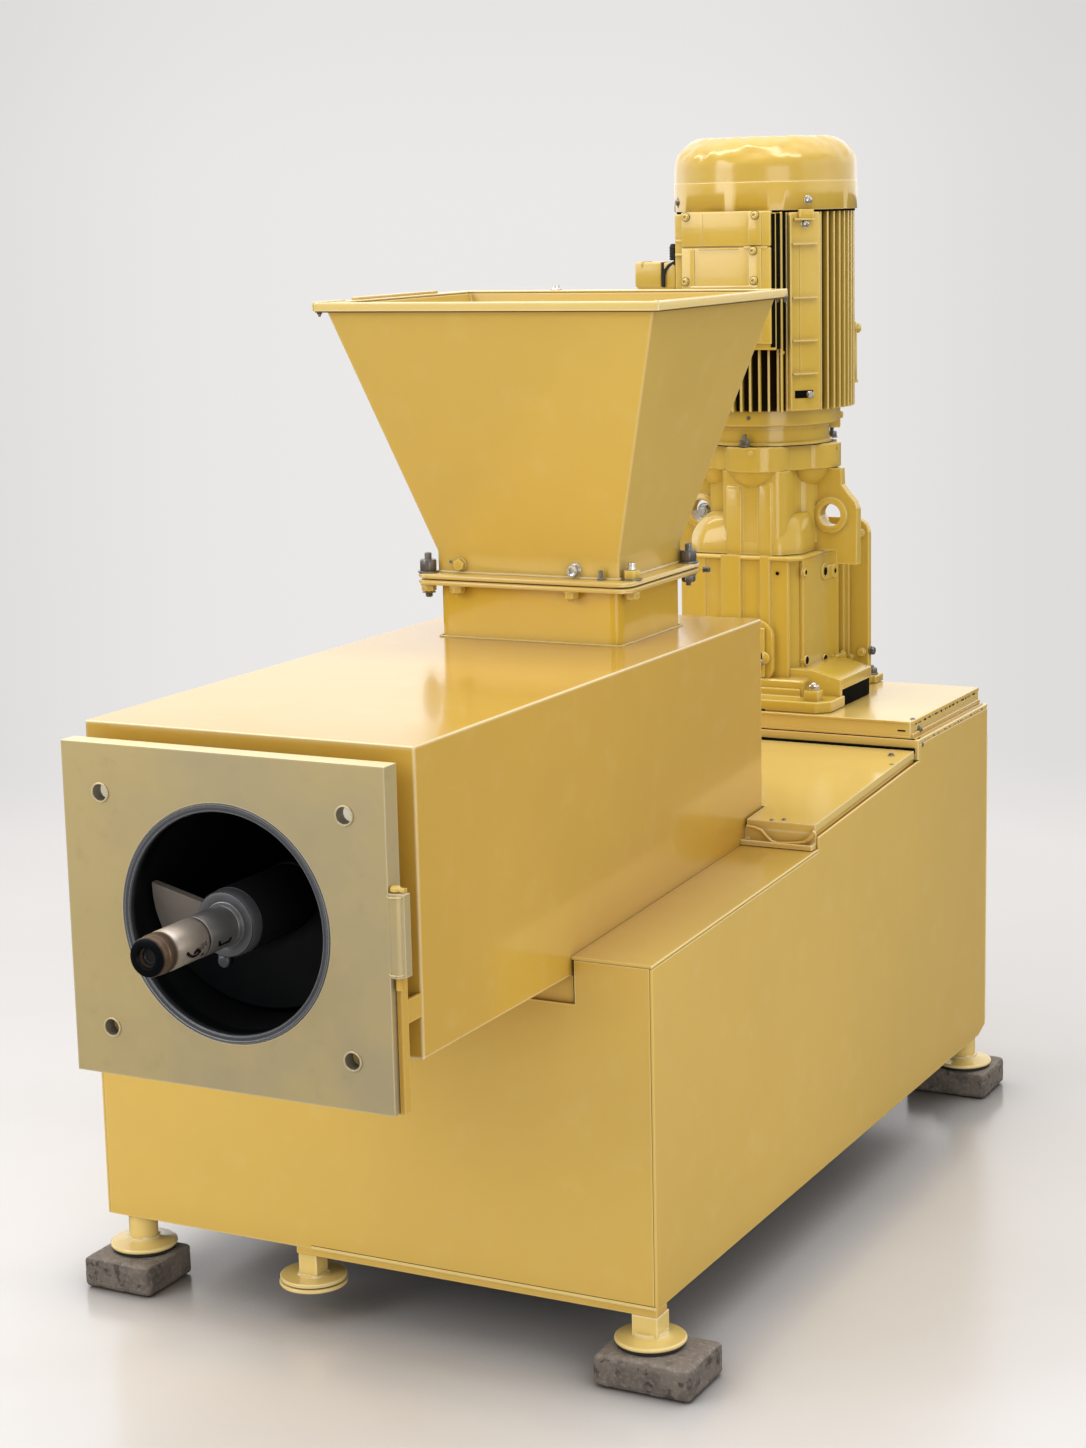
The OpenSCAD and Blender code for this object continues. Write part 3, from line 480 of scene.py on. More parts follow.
SHARP_IN_PIECES = math.radians(30)
SHARP_IN_CAD = math.radians(28)
FLAT_IN_CAD = math.radians(0.4)
WELD_GAP = 0.00002
STUD_PITCH = 1.6


def joined(*parts):
    """Several meshes as one."""
    whole = bmesh.new()
    for part in parts:
        scratch = bpy.data.meshes.new("scratch")
        part.to_mesh(scratch)
        whole.from_mesh(scratch)
        bpy.data.meshes.remove(scratch)
        part.free()
    return whole


def skin(rows, closed=False):
    """A mesh over rings of points, each joined to the next, with flat ends.

    Closed joins the last ring to the first instead. A ring of one point is a tip.
    """
    mesh = bmesh.new()
    rows = [[mesh.verts.new(point) for point in row] for row in rows]
    for low, high in zip(rows, rows[1:] + rows[:1] if closed else rows[1:]):
        for i in range(max(len(low), len(high))):
            j = i + 1
            around = (low[i % len(low)], low[j % len(low)], high[j % len(high)], high[i % len(high)])
            corners = list(dict.fromkeys(around))
            if len(corners) > 2:
                mesh.faces.new(corners)
    for row in (rows[0][::-1], rows[-1]):
        if len(row) > 2 and not closed:
            mesh.faces.new(row)
    bmesh.ops.recalc_face_normals(mesh, faces=mesh.faces)
    return mesh


def circle(radius, angle):
    """A point on a circle, at an angle in radians."""
    return radius * math.cos(angle), radius * math.sin(angle)


def side_reach(corner_radius, sides, angle):
    """How far out a regular polygon reaches at an angle. No sides means a circle."""
    if not sides:
        return corner_radius
    turn = math.tau / sides
    return corner_radius * math.cos(turn / 2) / math.cos(angle % turn - turn / 2)


def turned(profile, segments=48, closed=False):
    """A shape turned round Z from (radius, height) points, or (corner radius, height, sides)."""
    rows = []
    for radius, height, *sides in profile:
        angles = [math.tau * i / segments for i in range(segments if radius > 1e-6 else 1)]
        rows.append([(*circle(side_reach(radius, sides[0] if sides else 0, angle), angle), height)
                     for angle in angles])
    return skin(rows, closed)


def rounded(mesh, width, steps=2):
    """Rounds the sharp edges of a mesh."""
    sharp = [edge for edge in mesh.edges
             if len(edge.link_faces) == 2 and edge.calc_face_angle(0) > SHARP_IN_PIECES]
    if sharp and width > 0:
        bmesh.ops.bevel(mesh, geom=sharp, offset=width, segments=steps, profile=0.6,
                        affect="EDGES", clamp_overlap=True)
    return mesh


def block(x0, x1, y0, y1, z0, z1, edge=1.0, steps=2):
    """A rectangular block with rounded edges."""
    mesh = bmesh.new()
    bmesh.ops.create_cube(mesh, size=1)
    for vert in mesh.verts:
        vert.co = Vector((x0 if vert.co.x < 0 else x1, y0 if vert.co.y < 0 else y1,
                          z0 if vert.co.z < 0 else z1))
    return rounded(mesh, edge, steps)


def blocks(origin, *rows):
    """Blocks as one mesh. Each row is x0, x1, y0, y1, z0, z1 from the origin, its edge and steps."""
    x, y, z = origin
    return joined(*(block(x + x0, x + x1, y + y0, y + y1, z + z0, z + z1, *rest)
                    for x0, x1, y0, y1, z0, z1, *rest in rows))


def pulled(outline, thickness, edge):
    """A flat outline in X-Y, pulled up along Z."""
    rows = [[(x, y, z) for x, y in outline] for z in (0, thickness)]
    return rounded(skin(rows), edge)


def swept(path, radius, sides=10, closed=False):
    """A round bar along a path. The radius is a number or a function of the step."""
    points = [Vector(point) for point in path]
    rows = []
    last = len(points) - 1
    for i, point in enumerate(points):
        after = points[(i + 1) % len(points)] if closed or i < last else point
        before = points[i - 1] if closed or i > 0 else point
        along = (after - before).normalized()
        aside = along.orthogonal() if not rows else aside - along * aside.dot(along)
        aside.normalize()
        across = along.cross(aside)
        size = radius(i) if callable(radius) else radius
        rows.append([point + (aside * math.cos(math.tau * k / sides)
                              + across * math.sin(math.tau * k / sides)) * size for k in range(sides)])
    return skin(rows, closed)


def put(mesh, spot, axis=UP, spin=0.0):
    """Moves a mesh made on Z to a spot, pointing along an axis."""
    turn = Vector(UP).rotation_difference(Vector(axis)).to_matrix().to_4x4()
    mesh.transform(Matrix.Translation(spot) @ turn @ Matrix.Rotation(math.radians(spin), 4, "Z"))
    return mesh


def disc(radius, thickness):
    """A flat washer."""
    soft = min(0.5, thickness / 3)
    return turned([(radius - soft, 0), (radius, soft), (radius, thickness - soft),
                   (radius - soft, thickness)], 40), thickness


def nut(flats, height, sides=6):
    """A nut or bolt head with a chamfered top."""
    corner = flats / 2 / math.cos(math.pi / sides)
    return turned([(corner * 0.98, 0, sides), (corner, 0.4, sides), (corner, height * 0.84, sides),
                   (flats * 0.47, height)]), height


def stud(radius, height):
    """A threaded stud end."""
    profile = [(radius, 0)]
    turns = int(height / STUD_PITCH)
    for i in range(turns):
        profile += [(radius, (i + 0.1) * STUD_PITCH), (radius * 0.88, (i + 0.6) * STUD_PITCH)]
    return turned(profile + [(radius, turns * STUD_PITCH), (radius * 0.6, height)], 24), height


def socket_head(radius, height):
    """A cap screw head with a hexagonal socket."""
    return turned([(radius, 0), (radius, height - 1), (radius - 0.8, height), (radius * 0.6, height),
                   (radius * 0.55, height - 0.4, 6), (radius * 0.5, height * 0.4, 6),
                   (0, height * 0.35)]), height


def dome(radius, height):
    """A pan head, with a dimple for its recess."""
    return turned([(radius, 0), (radius, height * 0.35), (radius * 0.85, height * 0.8),
                   (radius * 0.5, height), (radius * 0.3, height), (radius * 0.16, height * 0.55),
                   (0, height * 0.5)], 32), height


def stacked(spot, axis, *layers, spin=0.0):
    """Turned meshes set one on the other, starting at a spot and going along an axis."""
    level = 0.0
    parts = []
    for mesh, height in layers:
        bmesh.ops.translate(mesh, verts=mesh.verts, vec=(0, 0, level))
        level += height
        parts.append(mesh)
    return put(joined(*parts), spot, axis, spin)


def piece(name, mesh, finish, body="frame", replaces=(), crease=35):
    """A finished piece of the machine, riding on its body."""
    mesh.transform(MACHINE)
    data = bpy.data.meshes.new(name)
    mesh.to_mesh(data)
    mesh.free()
    data.shade_smooth()
    data.set_sharp_from_angle(angle=math.radians(crease))
    data.materials.append(finish)
    made = link(name, data)
    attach(made, body)
    if replaces:
        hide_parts(*replaces)


# ---- CAD nodes: finishes and softened edges ----


def soften(node, finish, edge):
    """Gives a CAD node its finish and rounds its sharp edges by modifiers."""
    made = nodes[node]
    data = made.data
    data.materials.clear()
    data.materials.append(finish)
    if "custom_normal" in data.attributes:
        data.attributes.remove(data.attributes["custom_normal"])
    data.shade_smooth()
    weld = made.modifiers.new("weld", "WELD")
    weld.merge_threshold = WELD_GAP
    flatten = made.modifiers.new("flat faces", "DECIMATE")
    flatten.decimate_type = "DISSOLVE"
    flatten.angle_limit = FLAT_IN_CAD
    bevel = made.modifiers.new("round edges", "BEVEL")
    bevel.width = edge * MM
    bevel.segments = 3
    bevel.limit_method = "ANGLE"
    bevel.angle_limit = SHARP_IN_CAD
    bevel.use_clamp_overlap = True
    shade = made.modifiers.new("even shading", "WEIGHTED_NORMAL")
    shade.weight = 80
    shade.keep_sharp = True


SOFT_EDGES = {
    SHEET: {"neck_flange": 1.2, "hopper_flange": 1.2, "hopper_body": 2.2},
    CABINET: {"base_front_panel": 0.3, "base_right_panel": 1.6, "base_left_panel": 1.6,
              "base_rear_panel": 1.2, "bottom_frame": 1.5, "barrel_saddle": 1.5},
    DECK: {"deck_cover": 1.0, "deck_tray": 0.8, "plinth_lower": 1.6, "plinth_upper": 2.0},
    FOOT: {"foot_front_right": 1.2, "foot_front_left": 1.2, "foot_front_middle": 1.2,
           "foot_rear_right": 1.2, "foot_rear_left": 1.2},
    CAST: {"gearbox_foot": 2.5, "gearbox_body": 3.0, "gearbox_bell": 3.0, "gearbox_flange": 2.5,
           "bearing_cover": 3.0, "rear_bracket": 2.0, "motor_adapter": 2.5, "motor_pads": 1.2,
           "terminal_box": 3.0, "auxiliary_box": 3.0, "fan_cowl": 0.8},
    HOUSING: {"barrel_housing": 2.4}, FINNED: {"motor_body": 0.8}, LEDGE: {"ledge_covers": 1.6},
    POST: {"hinge_post": 0.5}, NECK: {"neck": 1.0}, RIM: {"hopper_rim": 1.6},
    PLATE: {"front_plate": 1.4}, RING: {"mouth_ring": 0.8}, TUBE: {"barrel_tube": 0.8},
    BLACK_STEEL: {"worm_hub": 1.0}, BLADE: {"worm_flight": 0.8}, JOURNAL: {"shaft_journal": 0.8},
    BRIGHT: {"shaft_nose": 1.2}, RUBBER: {"foot_pads": 1.0}, GASKET: {"flange_gasket": 0.3},
    BRICK: {"support_bricks": 5.0}}
for node_finish, edge_widths in SOFT_EDGES.items():
    for node_name, edge_width in edge_widths.items():
        soften(node_name, node_finish, edge_width)

# ---- Worm, shaft and barrel mouth ----

shaft_r = (journal.x1 - journal.x0) / 2
nose_r = (nose.x1 - nose.x0) / 2
journal_l = journal.y1 - journal.y0
nose_l = nose.y1 - nose.y0
collar_y = journal.y1 + 16


def forward(mesh, y):
    """A mesh made on Z, laid along the worm axis and pointing forward from y."""
    return put(mesh, (barrel_x, y, axis_z), FRONT)


def on_worm(radius, angle, y):
    """A point at a radius and an angle round the worm axis."""
    return barrel_x + radius * math.cos(angle), y, axis_z + radius * math.sin(angle)


def worm_blade():
    """One helical blade round the hub, thicker at its root and with soft rim edges."""
    flight = span("worm_flight")
    top = (flight.z1 - flight.z0) / 2
    root = (hub.x1 - hub.x0) / 2 - 1
    pitch, start, step, thickness = 210, 166, 4, 11
    count = int(360 * (flight.y1 - flight.y0 - thickness) / pitch / step)
    section = [(root, -4), (root + 4, -2), (root + 10, -0.6), (root + 18, 0), (top - 1.5, 0),
               (top, 1.5), (top, thickness - 1.5), (top - 1.5, thickness), (root + 18, thickness),
               (root + 8, thickness + 1), (root, thickness + 4)]
    rows = []
    for i in range(count + 1):
        angle = math.radians(start + i * step)
        swell = min(1, i / 6)
        row = []
        for radius, offset in section:
            inside = min(max(offset, 0), thickness)
            y = flight.y0 + i * step / 360 * pitch + inside + (offset - inside) * swell
            row.append(on_worm(radius, angle, y))
        rows.append(row)
    return skin(rows)


def curved_mark(angles, y0, y1, radius, thickness=0.25):
    """A thin sheet that follows the shaft between two angles."""
    rows = []
    for i in range(9):
        turn = math.radians(angles[0] + (angles[1] - angles[0]) * i / 8)
        rows.append([on_worm(r, turn, y) for r, y in (
            (radius - 1, y0), (radius + thickness, y0), (radius + thickness, y1), (radius - 1, y1))])
    return skin(rows)


piece("worm_blade", worm_blade(), BLADE, "worm", ["worm_flight"])
piece("turned_journal", forward(turned([
    (shaft_r + 4, -0.5), (shaft_r + 1.6, 0.6), (shaft_r + 0.4, 3), (shaft_r, 5), (shaft_r - 0.9, 6),
    (shaft_r - 0.9, 7.2), (shaft_r, 8.2), (shaft_r, journal_l - 1.4), (shaft_r - 0.8, journal_l)],
    72), journal.y1), JOURNAL, "worm", ["shaft_journal"])
piece("worn_nose", forward(turned([
    (nose_r - 0.6, -0.4), (nose_r, 0.6), (nose_r, nose_l - 30), (nose_r - 0.7, nose_l - 29),
    (nose_r - 0.8, nose_l - 24), (nose_r - 0.2, nose_l - 23), (nose_r - 0.3, nose_l - 14),
    (nose_r - 1.2, nose_l - 13), (nose_r - 1.1, nose_l - 4), (nose_r - 2.0, nose_l - 1.2),
    (nose_r - 4.2, nose_l), (12.6, nose_l), (11.2, nose_l - 1.2), (10.4, nose_l - 3),
    (10.2, nose_l - 11), (6, nose_l - 11), (5, nose_l - 9.5), (0, nose_l - 9.5)],
    72), nose.y1), NOSE, "worm", ["shaft_nose"])
ring_out = (ring.x1 - ring.x0) / 2
ring_in = ring_out - 9.5
ring_t = ring.y1 - ring.y0
piece("mouth_ring_with_fine_edges", put(turned([
    (ring_in, 0), (ring_out - 0.3, 0), (ring_out - 0.3, ring_t - 1.2), (ring_out - 1.0, ring_t),
    (ring_out - 3.2, ring_t), (ring_out - 3.8, ring_t - 0.6), (ring_in + 1.2, ring_t - 0.6),
    (ring_in, ring_t - 2.0)], 128, True), (barrel_x, ring.y1, axis_z), FRONT),
    RING, "plate", ["mouth_ring"], crease=25)
piece("dark_centre_of_the_nose", forward(turned([
    (10.1, 0), (10.1, 1.2), (7.6, 1.6), (6.8, 0.8), (0, 0.8)], 40), nose.y0 + 9.6),
    BLACK_STEEL, "worm")
piece("grey_collar", forward(turned([
    (36.4, -1), (37, -0.4), (37, 13.5), (35.2, 16.2), (33, 16.6), (26, 16.6), (24, 15.6)], 72),
    collar_y), COLLAR, "worm")
piece("hub_rings", joined(
    forward(turned([(38, 0), (46, 3), (50, 8), (50, 26), (46, 31), (38, 34)], 64), -120),
    forward(turned([(38.2, 0), (39.6, 1), (39.6, 7), (38.2, 8)], 64), -262)),
    BLACK_STEEL, "worm")
piece("collar_lug", joined(
    put(turned([(0, -11), (6.4, -11), (7.2, -9), (7.2, -1.5), (6.2, 0), (3.4, 0.5), (0, 0.6)], 32),
        (75, plate.y0 + 5, axis_z - 43), FRONT),
    block(68, 82, plate.y0 + 6, plate.y0 + 15, axis_z - 42, axis_z - 30, 2, 2)),
    RING, "worm", crease=60)
piece("dark_shaft_marks", joined(
    *(curved_mark((a, a + 9), y, y + 4.6, nose_r, 0.2)
      for a, y in ((-14, -506), (-20, -503), (-26, -499), (-31, -494), (-33, -489), (-30, -485),
                   (-24, -483), (-19, -485), (-16, -489), (-20, -492))),
    curved_mark((-40, -30), -474, -471, nose_r), curved_mark((-8, 12), -463.4, -462.2, nose_r),
    *(curved_mark((a, a + 8), y, y + 4.4, shaft_r, 0.2)
      for a, y in ((-20, -447), (-26, -446), (-31, -443), (-31, -439), (-31, -435), (-31, -431),
                   (-30, -427), (-24, -426)))),
    SHADOW_AND_MARK_BLACK, "worm")
piece("bright_wear_patch", joined(
    curved_mark((-25, -4), -489, -480, nose_r, 0.12), curved_mark((-16, 2), -480, -473, nose_r, 0.12),
    curved_mark((-8, 6), -473, -468, nose_r, 0.12)), BRIGHT, "worm")

# ---- Fixings shared by several places ----


def screw(radius, height):
    return [disc(radius * 1.2, 0.8), dome(radius, height)]


def stud_nut(flats, height, tip, sides=6):
    """A washer, a nut and the end of the stud standing out of it."""
    return [disc(flats * 0.66, 2.0), nut(flats, height, sides), stud(flats * 0.24, tip)]


def fixings(name, finish, rows):
    """Several fixings as one piece. Each row is a spot, an axis, its layers and a spin."""
    piece(name, joined(*(stacked(spot, axis, *layers, spin=spin)
                         for spot, axis, layers, spin in rows)), finish)


def corner_loop(here, grow, z, corner, step=1e4, wobble=0.0, seed=0.0):
    """Points round a box's outline, grown a little, with round corners.

    Every step of the way has a point, and the points wander as far as the wobble.
    """
    x0, x1 = here.x0 - grow + corner, here.x1 + grow - corner
    y0, y1 = here.y0 - grow + corner, here.y1 + grow - corner
    points = []
    for cx, cy, first in ((x1, y1, 0), (x0, y1, 90), (x0, y0, 180), (x1, y0, 270)):
        for a in range(0, 91, 30):
            across, along = circle(corner, math.radians(first + a))
            points.append(Vector((cx + across, cy + along, z)))
    full = []
    for near, far in zip(points, points[1:] + points[:1]):
        count = max(1, int((far - near).length / step))
        full += [near.lerp(far, i / count) for i in range(count)]
    return [p + noise.noise_vector(p * 0.13 + Vector((seed, 0, 0))) * wobble for p in full]


# ---- Hopper flanges and neck ----

flange_top = flange.z1
flange_low = neck_flange.z0
skirt_y = neck.y0


def flange_plate(here, inset, corner, soft):
    """A flat ring plate round the neck's opening, with round corners and softly rounded edges."""
    levels = ((soft, here.z0), (0, here.z0 + soft), (0, here.z1 - soft), (soft, here.z1))
    rows = [corner_loop(here, -inset - step_in, z, corner) for step_in, z in levels]
    rows += [corner_loop(neck, -6, z, 2) for z in (here.z1, here.z0)]
    return skin(rows, closed=True)


for flange_name, flange_inset, flange_corner, flange_soft, flange_finish in (
        ("hopper_flange", 0, 20, 1.4, SHEET), ("neck_flange", 0, 20, 1.4, SHEET),
        ("flange_gasket", 2.5, 22, 0.3, GASKET)):
    piece("round_cornered_" + flange_name, flange_plate(
        span(flange_name), flange_inset, flange_corner, flange_soft), flange_finish,
        replaces=[flange_name], crease=45)
fixings("knurled_flange_nuts", BLUED, [
    ((-56, 301, flange_top), UP, stud_nut(21, 15, 9, 12), 8),
    ((229, 492, flange_top), UP, stud_nut(21, 15, 9, 12), 3),
    ((229, 318, flange_top), UP, [disc(14, 1.6)], 0),
    ((195, 300, flange_top), UP, [nut(9, 2.5), stud(3, 10)], 0)])
fixings("flange_nuts_above", CAST, [
    ((229, 318, flange_top + 1.6), UP, [nut(20, 11)], 12),
    ((-11, skirt_y, flange_top + 11), FRONT, [disc(9, 2), nut(14, 6)], 20),
    ((-56, 492, flange_top), UP, stud_nut(20, 11, 7), 0),
    ((86, 497, flange_top), UP, stud_nut(18, 10, 5), 0)])
fixings("grey_studs_in_the_flange", ZINC, [
    ((229, 318, flange_top + 12.6), UP, [disc(6.5, 1.5), stud(5, 8)], 0),
    ((154, skirt_y, flange_top + 10), FRONT, [disc(9.6, 1.5), socket_head(7.6, 8)], 10)])
fixings("flange_nuts_below", CAST, [
    ((x, y, flange_low), DOWN, stud_nut(17, 8, 4), spin)
    for x, y, spin in ((-11, 296, 5), (154, 296, 20), (229, 318, 12), (-56, 301, 0), (-56, 492, 9))])
fixings("black_flange_nuts_below", BLUED, [
    ((229, 492, flange_low), DOWN, stud_nut(16, 9, 5), 4),
    ((-56, 301, flange_low - 11), DOWN, [disc(9, 1), stud(5, 6)], 0),
    ((238, 520, flange_low + 2), RIGHT, [disc(4.2, 1), nut(6.5, 8)], 0),
    ((-26, skirt_y, flange_top + 14), FRONT, [disc(2.2, 0.5), disc(1.4, 0.4)], 0)])

piece("weld_round_the_neck", joined(
    swept(corner_loop(neck, 0.4, housing.z1 + 0.6, 3, 4.0, 0.4),
          lambda i: 1.7 + 0.4 * math.sin(i * 2.1), 8, True),
    swept(corner_loop(neck, 0.6, flange_low - 0.8, 3, 5.0, 0.3, 4.0), 1.6, 8, True)),
    CAST, crease=80)
piece("weld_round_the_hopper_skirt", swept(
    corner_loop(neck, 0.6, flange_top + 0.8, 3, 5.0, 0.4, 2.0), 2.0, 8, True), SHEET, crease=80)

# ---- Hopper rim ----

rim_top = rim.z1
piece("guide_bars_on_the_rim", blocks(
    (0, 0, rim_top), (rim.x0 + 2, rim.x0 + 12, 291, 502, -0.5, 3.6, 1.2),
    (192, 284, rim.y1 - 11, rim.y1 - 1, -0.5, 4, 1.2),
    (rim.x0 + 1, rim.x0 + 13, rim.y0 + 1, rim.y0 + 60, -1.5, 1.2, 0.8)), SHEET)
fixings("rim_stud", ZINC, [((-12, rim.y1 - 5, rim_top), UP, [disc(8, 2), stud(5, 5)], 0)])
fixings("rim_bolts", BLUED, [
    ((x, y, rim.z0 + 2), DOWN, [disc(4, 1), nut(6, 5), stud(2, 3)], 10)
    for x, y in ((rim.x0 + 3.5, rim.y0 + 10), (rim.x1 - 1, rim.y1 - 7), (rim.x1 - 12, rim.y1 - 7))])
for corner_name, corner_x, inward in (("left", rim.x0, 1), ("right", rim.x1, -1)):
    seam_across = [(corner_x + inward * k, rim.y0 + k, rim_top + 0.1) for k in (0.4, 3, 6, 9)]
    seam_down = [(corner_x - inward * 0.1, rim.y0 - 0.1, z) for z in (rim_top - 0.5, rim.z0 + 0.5)]
    piece(corner_name + "_corner_seam_of_the_rim", joined(
        swept(seam_across, 1.1, 8), swept(seam_down, 1.1, 8)), SHEET, crease=80)

# ---- Motor ----


def off_drive(radius, angle, z):
    """A point at a radius and an angle round the drive's upright axis."""
    across, along = circle(radius, math.radians(angle))
    return drive_x + across, drive_y + along, z


def outward(angle):
    return *circle(1, math.radians(angle)), 0


def drive_ring(profile, z):
    """A ring turned round the drive's axis."""
    return put(turned(profile, 96, True), (drive_x, drive_y, z))


def dented_cowl():
    """The fan cowl, with a band at its foot and uneven pressed shoulders."""
    r = (cowl.x1 - cowl.x0) / 2 - 1
    h = cowl.z1 - cowl.z0 - 2
    band, shoulder_r, shoulder_h, fullness = 38, 40, 40, 1.62
    low = h - shoulder_h
    profile = [(r - 3, 6), (r - 3, -1.6), (r - 2.4, -2), (r + 0.5, -2), (r + 1, -1.4), (r + 1, band),
               (r + 0.7, band + 0.8), (r, band + 1.4), (r, band + 8), (r, low - 6)]
    for i in range(15):
        turn = math.radians(i * 90 / 14)
        profile.append((r - shoulder_r + shoulder_r * math.cos(turn) ** (2 / fullness),
                        low + shoulder_h * math.sin(turn) ** (2 / fullness)))
    for groove_r in (84, 72, 60, 48, 36, 24):
        profile += [(groove_r, h), (groove_r - 0.8, h - 3), (groove_r - 4.5, h - 3), (groove_r - 5.3, h)]
    mesh = turned(profile + [(0, h)], 144)
    for vert in mesh.verts:
        around = math.atan2(vert.co.y, vert.co.x)
        away = math.hypot(vert.co.x, vert.co.y)
        high = min(max((vert.co.z - low - 2) / 10, 0), 1) * min(max((away - 88) / 8, 0), 1)
        spot = Vector((math.cos(around) * 4.4, math.sin(around) * 4.4, vert.co.z * 0.05))
        push = noise.noise(spot) * 2.3 + noise.noise(spot * 2.1) * 1.3
        vert.co += Vector((math.cos(around), math.sin(around), 0.8)) * push * high
        vert.co += Vector((math.cos(around), math.sin(around), 0)) * noise.noise(spot * 0.8) * 0.35
    return put(mesh, (drive_x, drive_y, cowl.z0 + 2))


piece("dented_fan_cowl", dented_cowl(), COWL, replaces=["fan_cowl"], crease=40)
piece("shadow_gap_under_the_cowl", drive_ring(
    [(124, -3), (132.6, -3), (132.6, 1), (124, 1)], cowl.z0), SHADOW_AND_MARK_BLACK)
fixings("cowl_screws", ZINC, [
    (off_drive(135.8, a, cowl.z0 + 14), outward(a), screw(5.4, 4.6), 20) for a in (-40.5, 49.5, 139.5)]
    + [(off_drive(137.0, -43, box.z1 - 17), outward(-43), screw(5.2, 6), 0)])
fixings("cowl_clip", BLUED, [
    (off_drive(135.2, -139, cowl.z0 + 14), outward(-139), [nut(11, 1.5, 4), dome(4.4, 2.5)], 45),
    (off_drive(112, 33, cowl.z1 - 12), outward(33), [disc(3, 1.5), nut(4, 1.5)], 0),
    (off_drive(124, 31, cowl.z1 - 22), outward(31), [disc(2.4, 1.5), nut(3, 1.5)], 0)])

pad_r = 137.3


def on_pad(mesh, angle=-43):
    """A mesh made with X along the pad, Y up and Z out of it, set on the motor's pad."""
    side = Vector(outward(angle + 90))
    turn = Matrix((side, Vector(UP), Vector(outward(angle)))).transposed().to_4x4()
    mesh.transform(Matrix.Translation(off_drive(0, 0, 0)) @ turn)
    return mesh


pad_top = box.z1
pad_low = span("motor_pads").z0
pad_blocks = [(-25, 25, pad_low, pad_top, 124, pad_r, 4, 3),
              (-25, -22.5, pad_low + 4, pad_top - 4, 130, pad_r + 3, 1)]
pad_blocks += [(-21, 18, pad_top - drop - 3, pad_top - drop - 0.5, 130, pad_r + 5.5, 1)
               for drop in (44, 121, 183, 231)]
pad_blocks += [(-9, -8, pad_low + 44, pad_top - 46, 130, pad_r + 0.9, 0.3)]
piece("motor_foot_pads", joined(*(on_pad(block(*row), pad_angle) for pad_angle in (-43, 137)
                                  for row in pad_blocks)), CAST, replaces=["motor_pads"])
piece("pad_bracket", on_pad(blocks(
    (0, pad_top, pad_r), (-11, 12, -9, 4, -1, 6, 1.5), (-19, 13, -12, -9, -1, 8, 1.2))), CAST)
piece("pad_slot", on_pad(blocks(
    (0, motor.z0, pad_r), (-17, 12, 19, 30, -2, 0.8, 0.35), (-12, 7, 21, 28, -3, 1.0, 0.3))), SHADOW_AND_MARK_BLACK)
fixings("pad_bolt", ZINC, [
    (off_drive(pad_r, -40.5, motor.z0 + 24), outward(-43), [disc(5, 3), nut(9, 4)], 15)])
for clip_number, clip_z in enumerate((1322, 1276, 1222, 1168), 1):
    fixings(f"cover_clip_{clip_number}", CAST, [
        (off_drive(121, -58, clip_z), outward(-47), [nut(8, 4, 4), nut(6, 6), stud(2.5, 4)], 0)])
fixings("stub_boss_on_the_right", CAST, [
    (off_drive(130, 26, 1195), outward(26), [disc(10, 5), nut(14, 5), disc(5, 2)], 0)])
piece("strip_on_the_right_of_the_fins", on_pad(blocks(
    (0, 0, 128), (-4, 4, 1118, 1190, 0, 7.5, 1.0), (-5, 5, 1114, 1119, 0, 9, 1.0)), 24), CAST)

# ---- Terminal box ----

face_y = box.y0
split_z = box.z1 - 48
cover_x = (27, 168)
strap_x = (134, 154)
low_strap_x = (28, 48)
corner_x = (box.x0 + 2, box.x0 + 26)
piece("terminal_box_covers", blocks(
    (0, face_y, 0), (*cover_x, -2.8, 5, split_z + 1, box.z1 + 3, 2.4, 3),
    (*cover_x, -2.8, 5, box.z0 + 9, split_z - 1, 1.4, 3),
    (*strap_x, -5.2, 0, split_z + 2.5, box.z1 + 1, 1.2),
    (*strap_x, -5.2, 0, box.z0 + 10, split_z - 2.5, 1.2),
    (*low_strap_x, -4.8, 0, box.z0 + 10, split_z - 2.5, 1.2),
    (60.2, 61.8, -3.4, 0, split_z + 3, box.z1, 0.3),
    (54, 118, -4.0, 0, split_z - 3.8, split_z - 1.4, 0.8),
    (126, 163, -4.0, 0, split_z - 3, split_z + 1, 0.8),
    (box.x0 + 2, box.x0 + 13, -1.2, 5, split_z + 8, split_z + 12, 0.8),
    (*corner_x, -3.6, 5, split_z - 12, split_z - 8, 0.8),
    (*corner_x, -3.6, 5, split_z - 66, split_z - 60, 0.8)), CAST)
piece("shaded_side_of_the_terminal_box", blocks(
    (box.x1, face_y, 0), (-2, 0.8, 3, 34, box.z0 + 1, box.z1 - 0.5, 0.3),
    (-8, -0.6, -0.4, 1, box.z0 + 4, box.z1 - 1, 0.3)), SHADOW_AND_MARK_BLACK)
piece("fin_edges_beside_the_terminal_box", blocks(
    (box.x1, face_y, 0), (0, 2.4, 16, 22, motor.z0, box.z1 + 1, 1.0),
    (-36, -33, 18, 24, motor.z0, box.z0, 1.0)), CAST)
box_screws = ((35, 1365), (145, 1366), (141.6, 1315.5), (34, 1272), (142.5, 1273))
cover_depths = (2.8, 5.2, 5.2, 4.8, 5.2)
fixings("cover_screws", CAST, [
    ((x, face_y - depth, z), FRONT, [disc(5.8, 1.2), disc(5.0, 0.6), socket_head(4.4, 3.4)], 0)
    for (x, z), depth in zip(box_screws, cover_depths)])
fixings("cover_screw_shadows", SHADOW_AND_MARK_BLACK, [
    ((x, face_y - depth, z), FRONT, [disc(6.5, 0.4), disc(6.2, 0.2)], 0)
    for (x, z), depth in zip(box_screws, cover_depths)])
gland = (box.x0 - 5, face_y + 6)
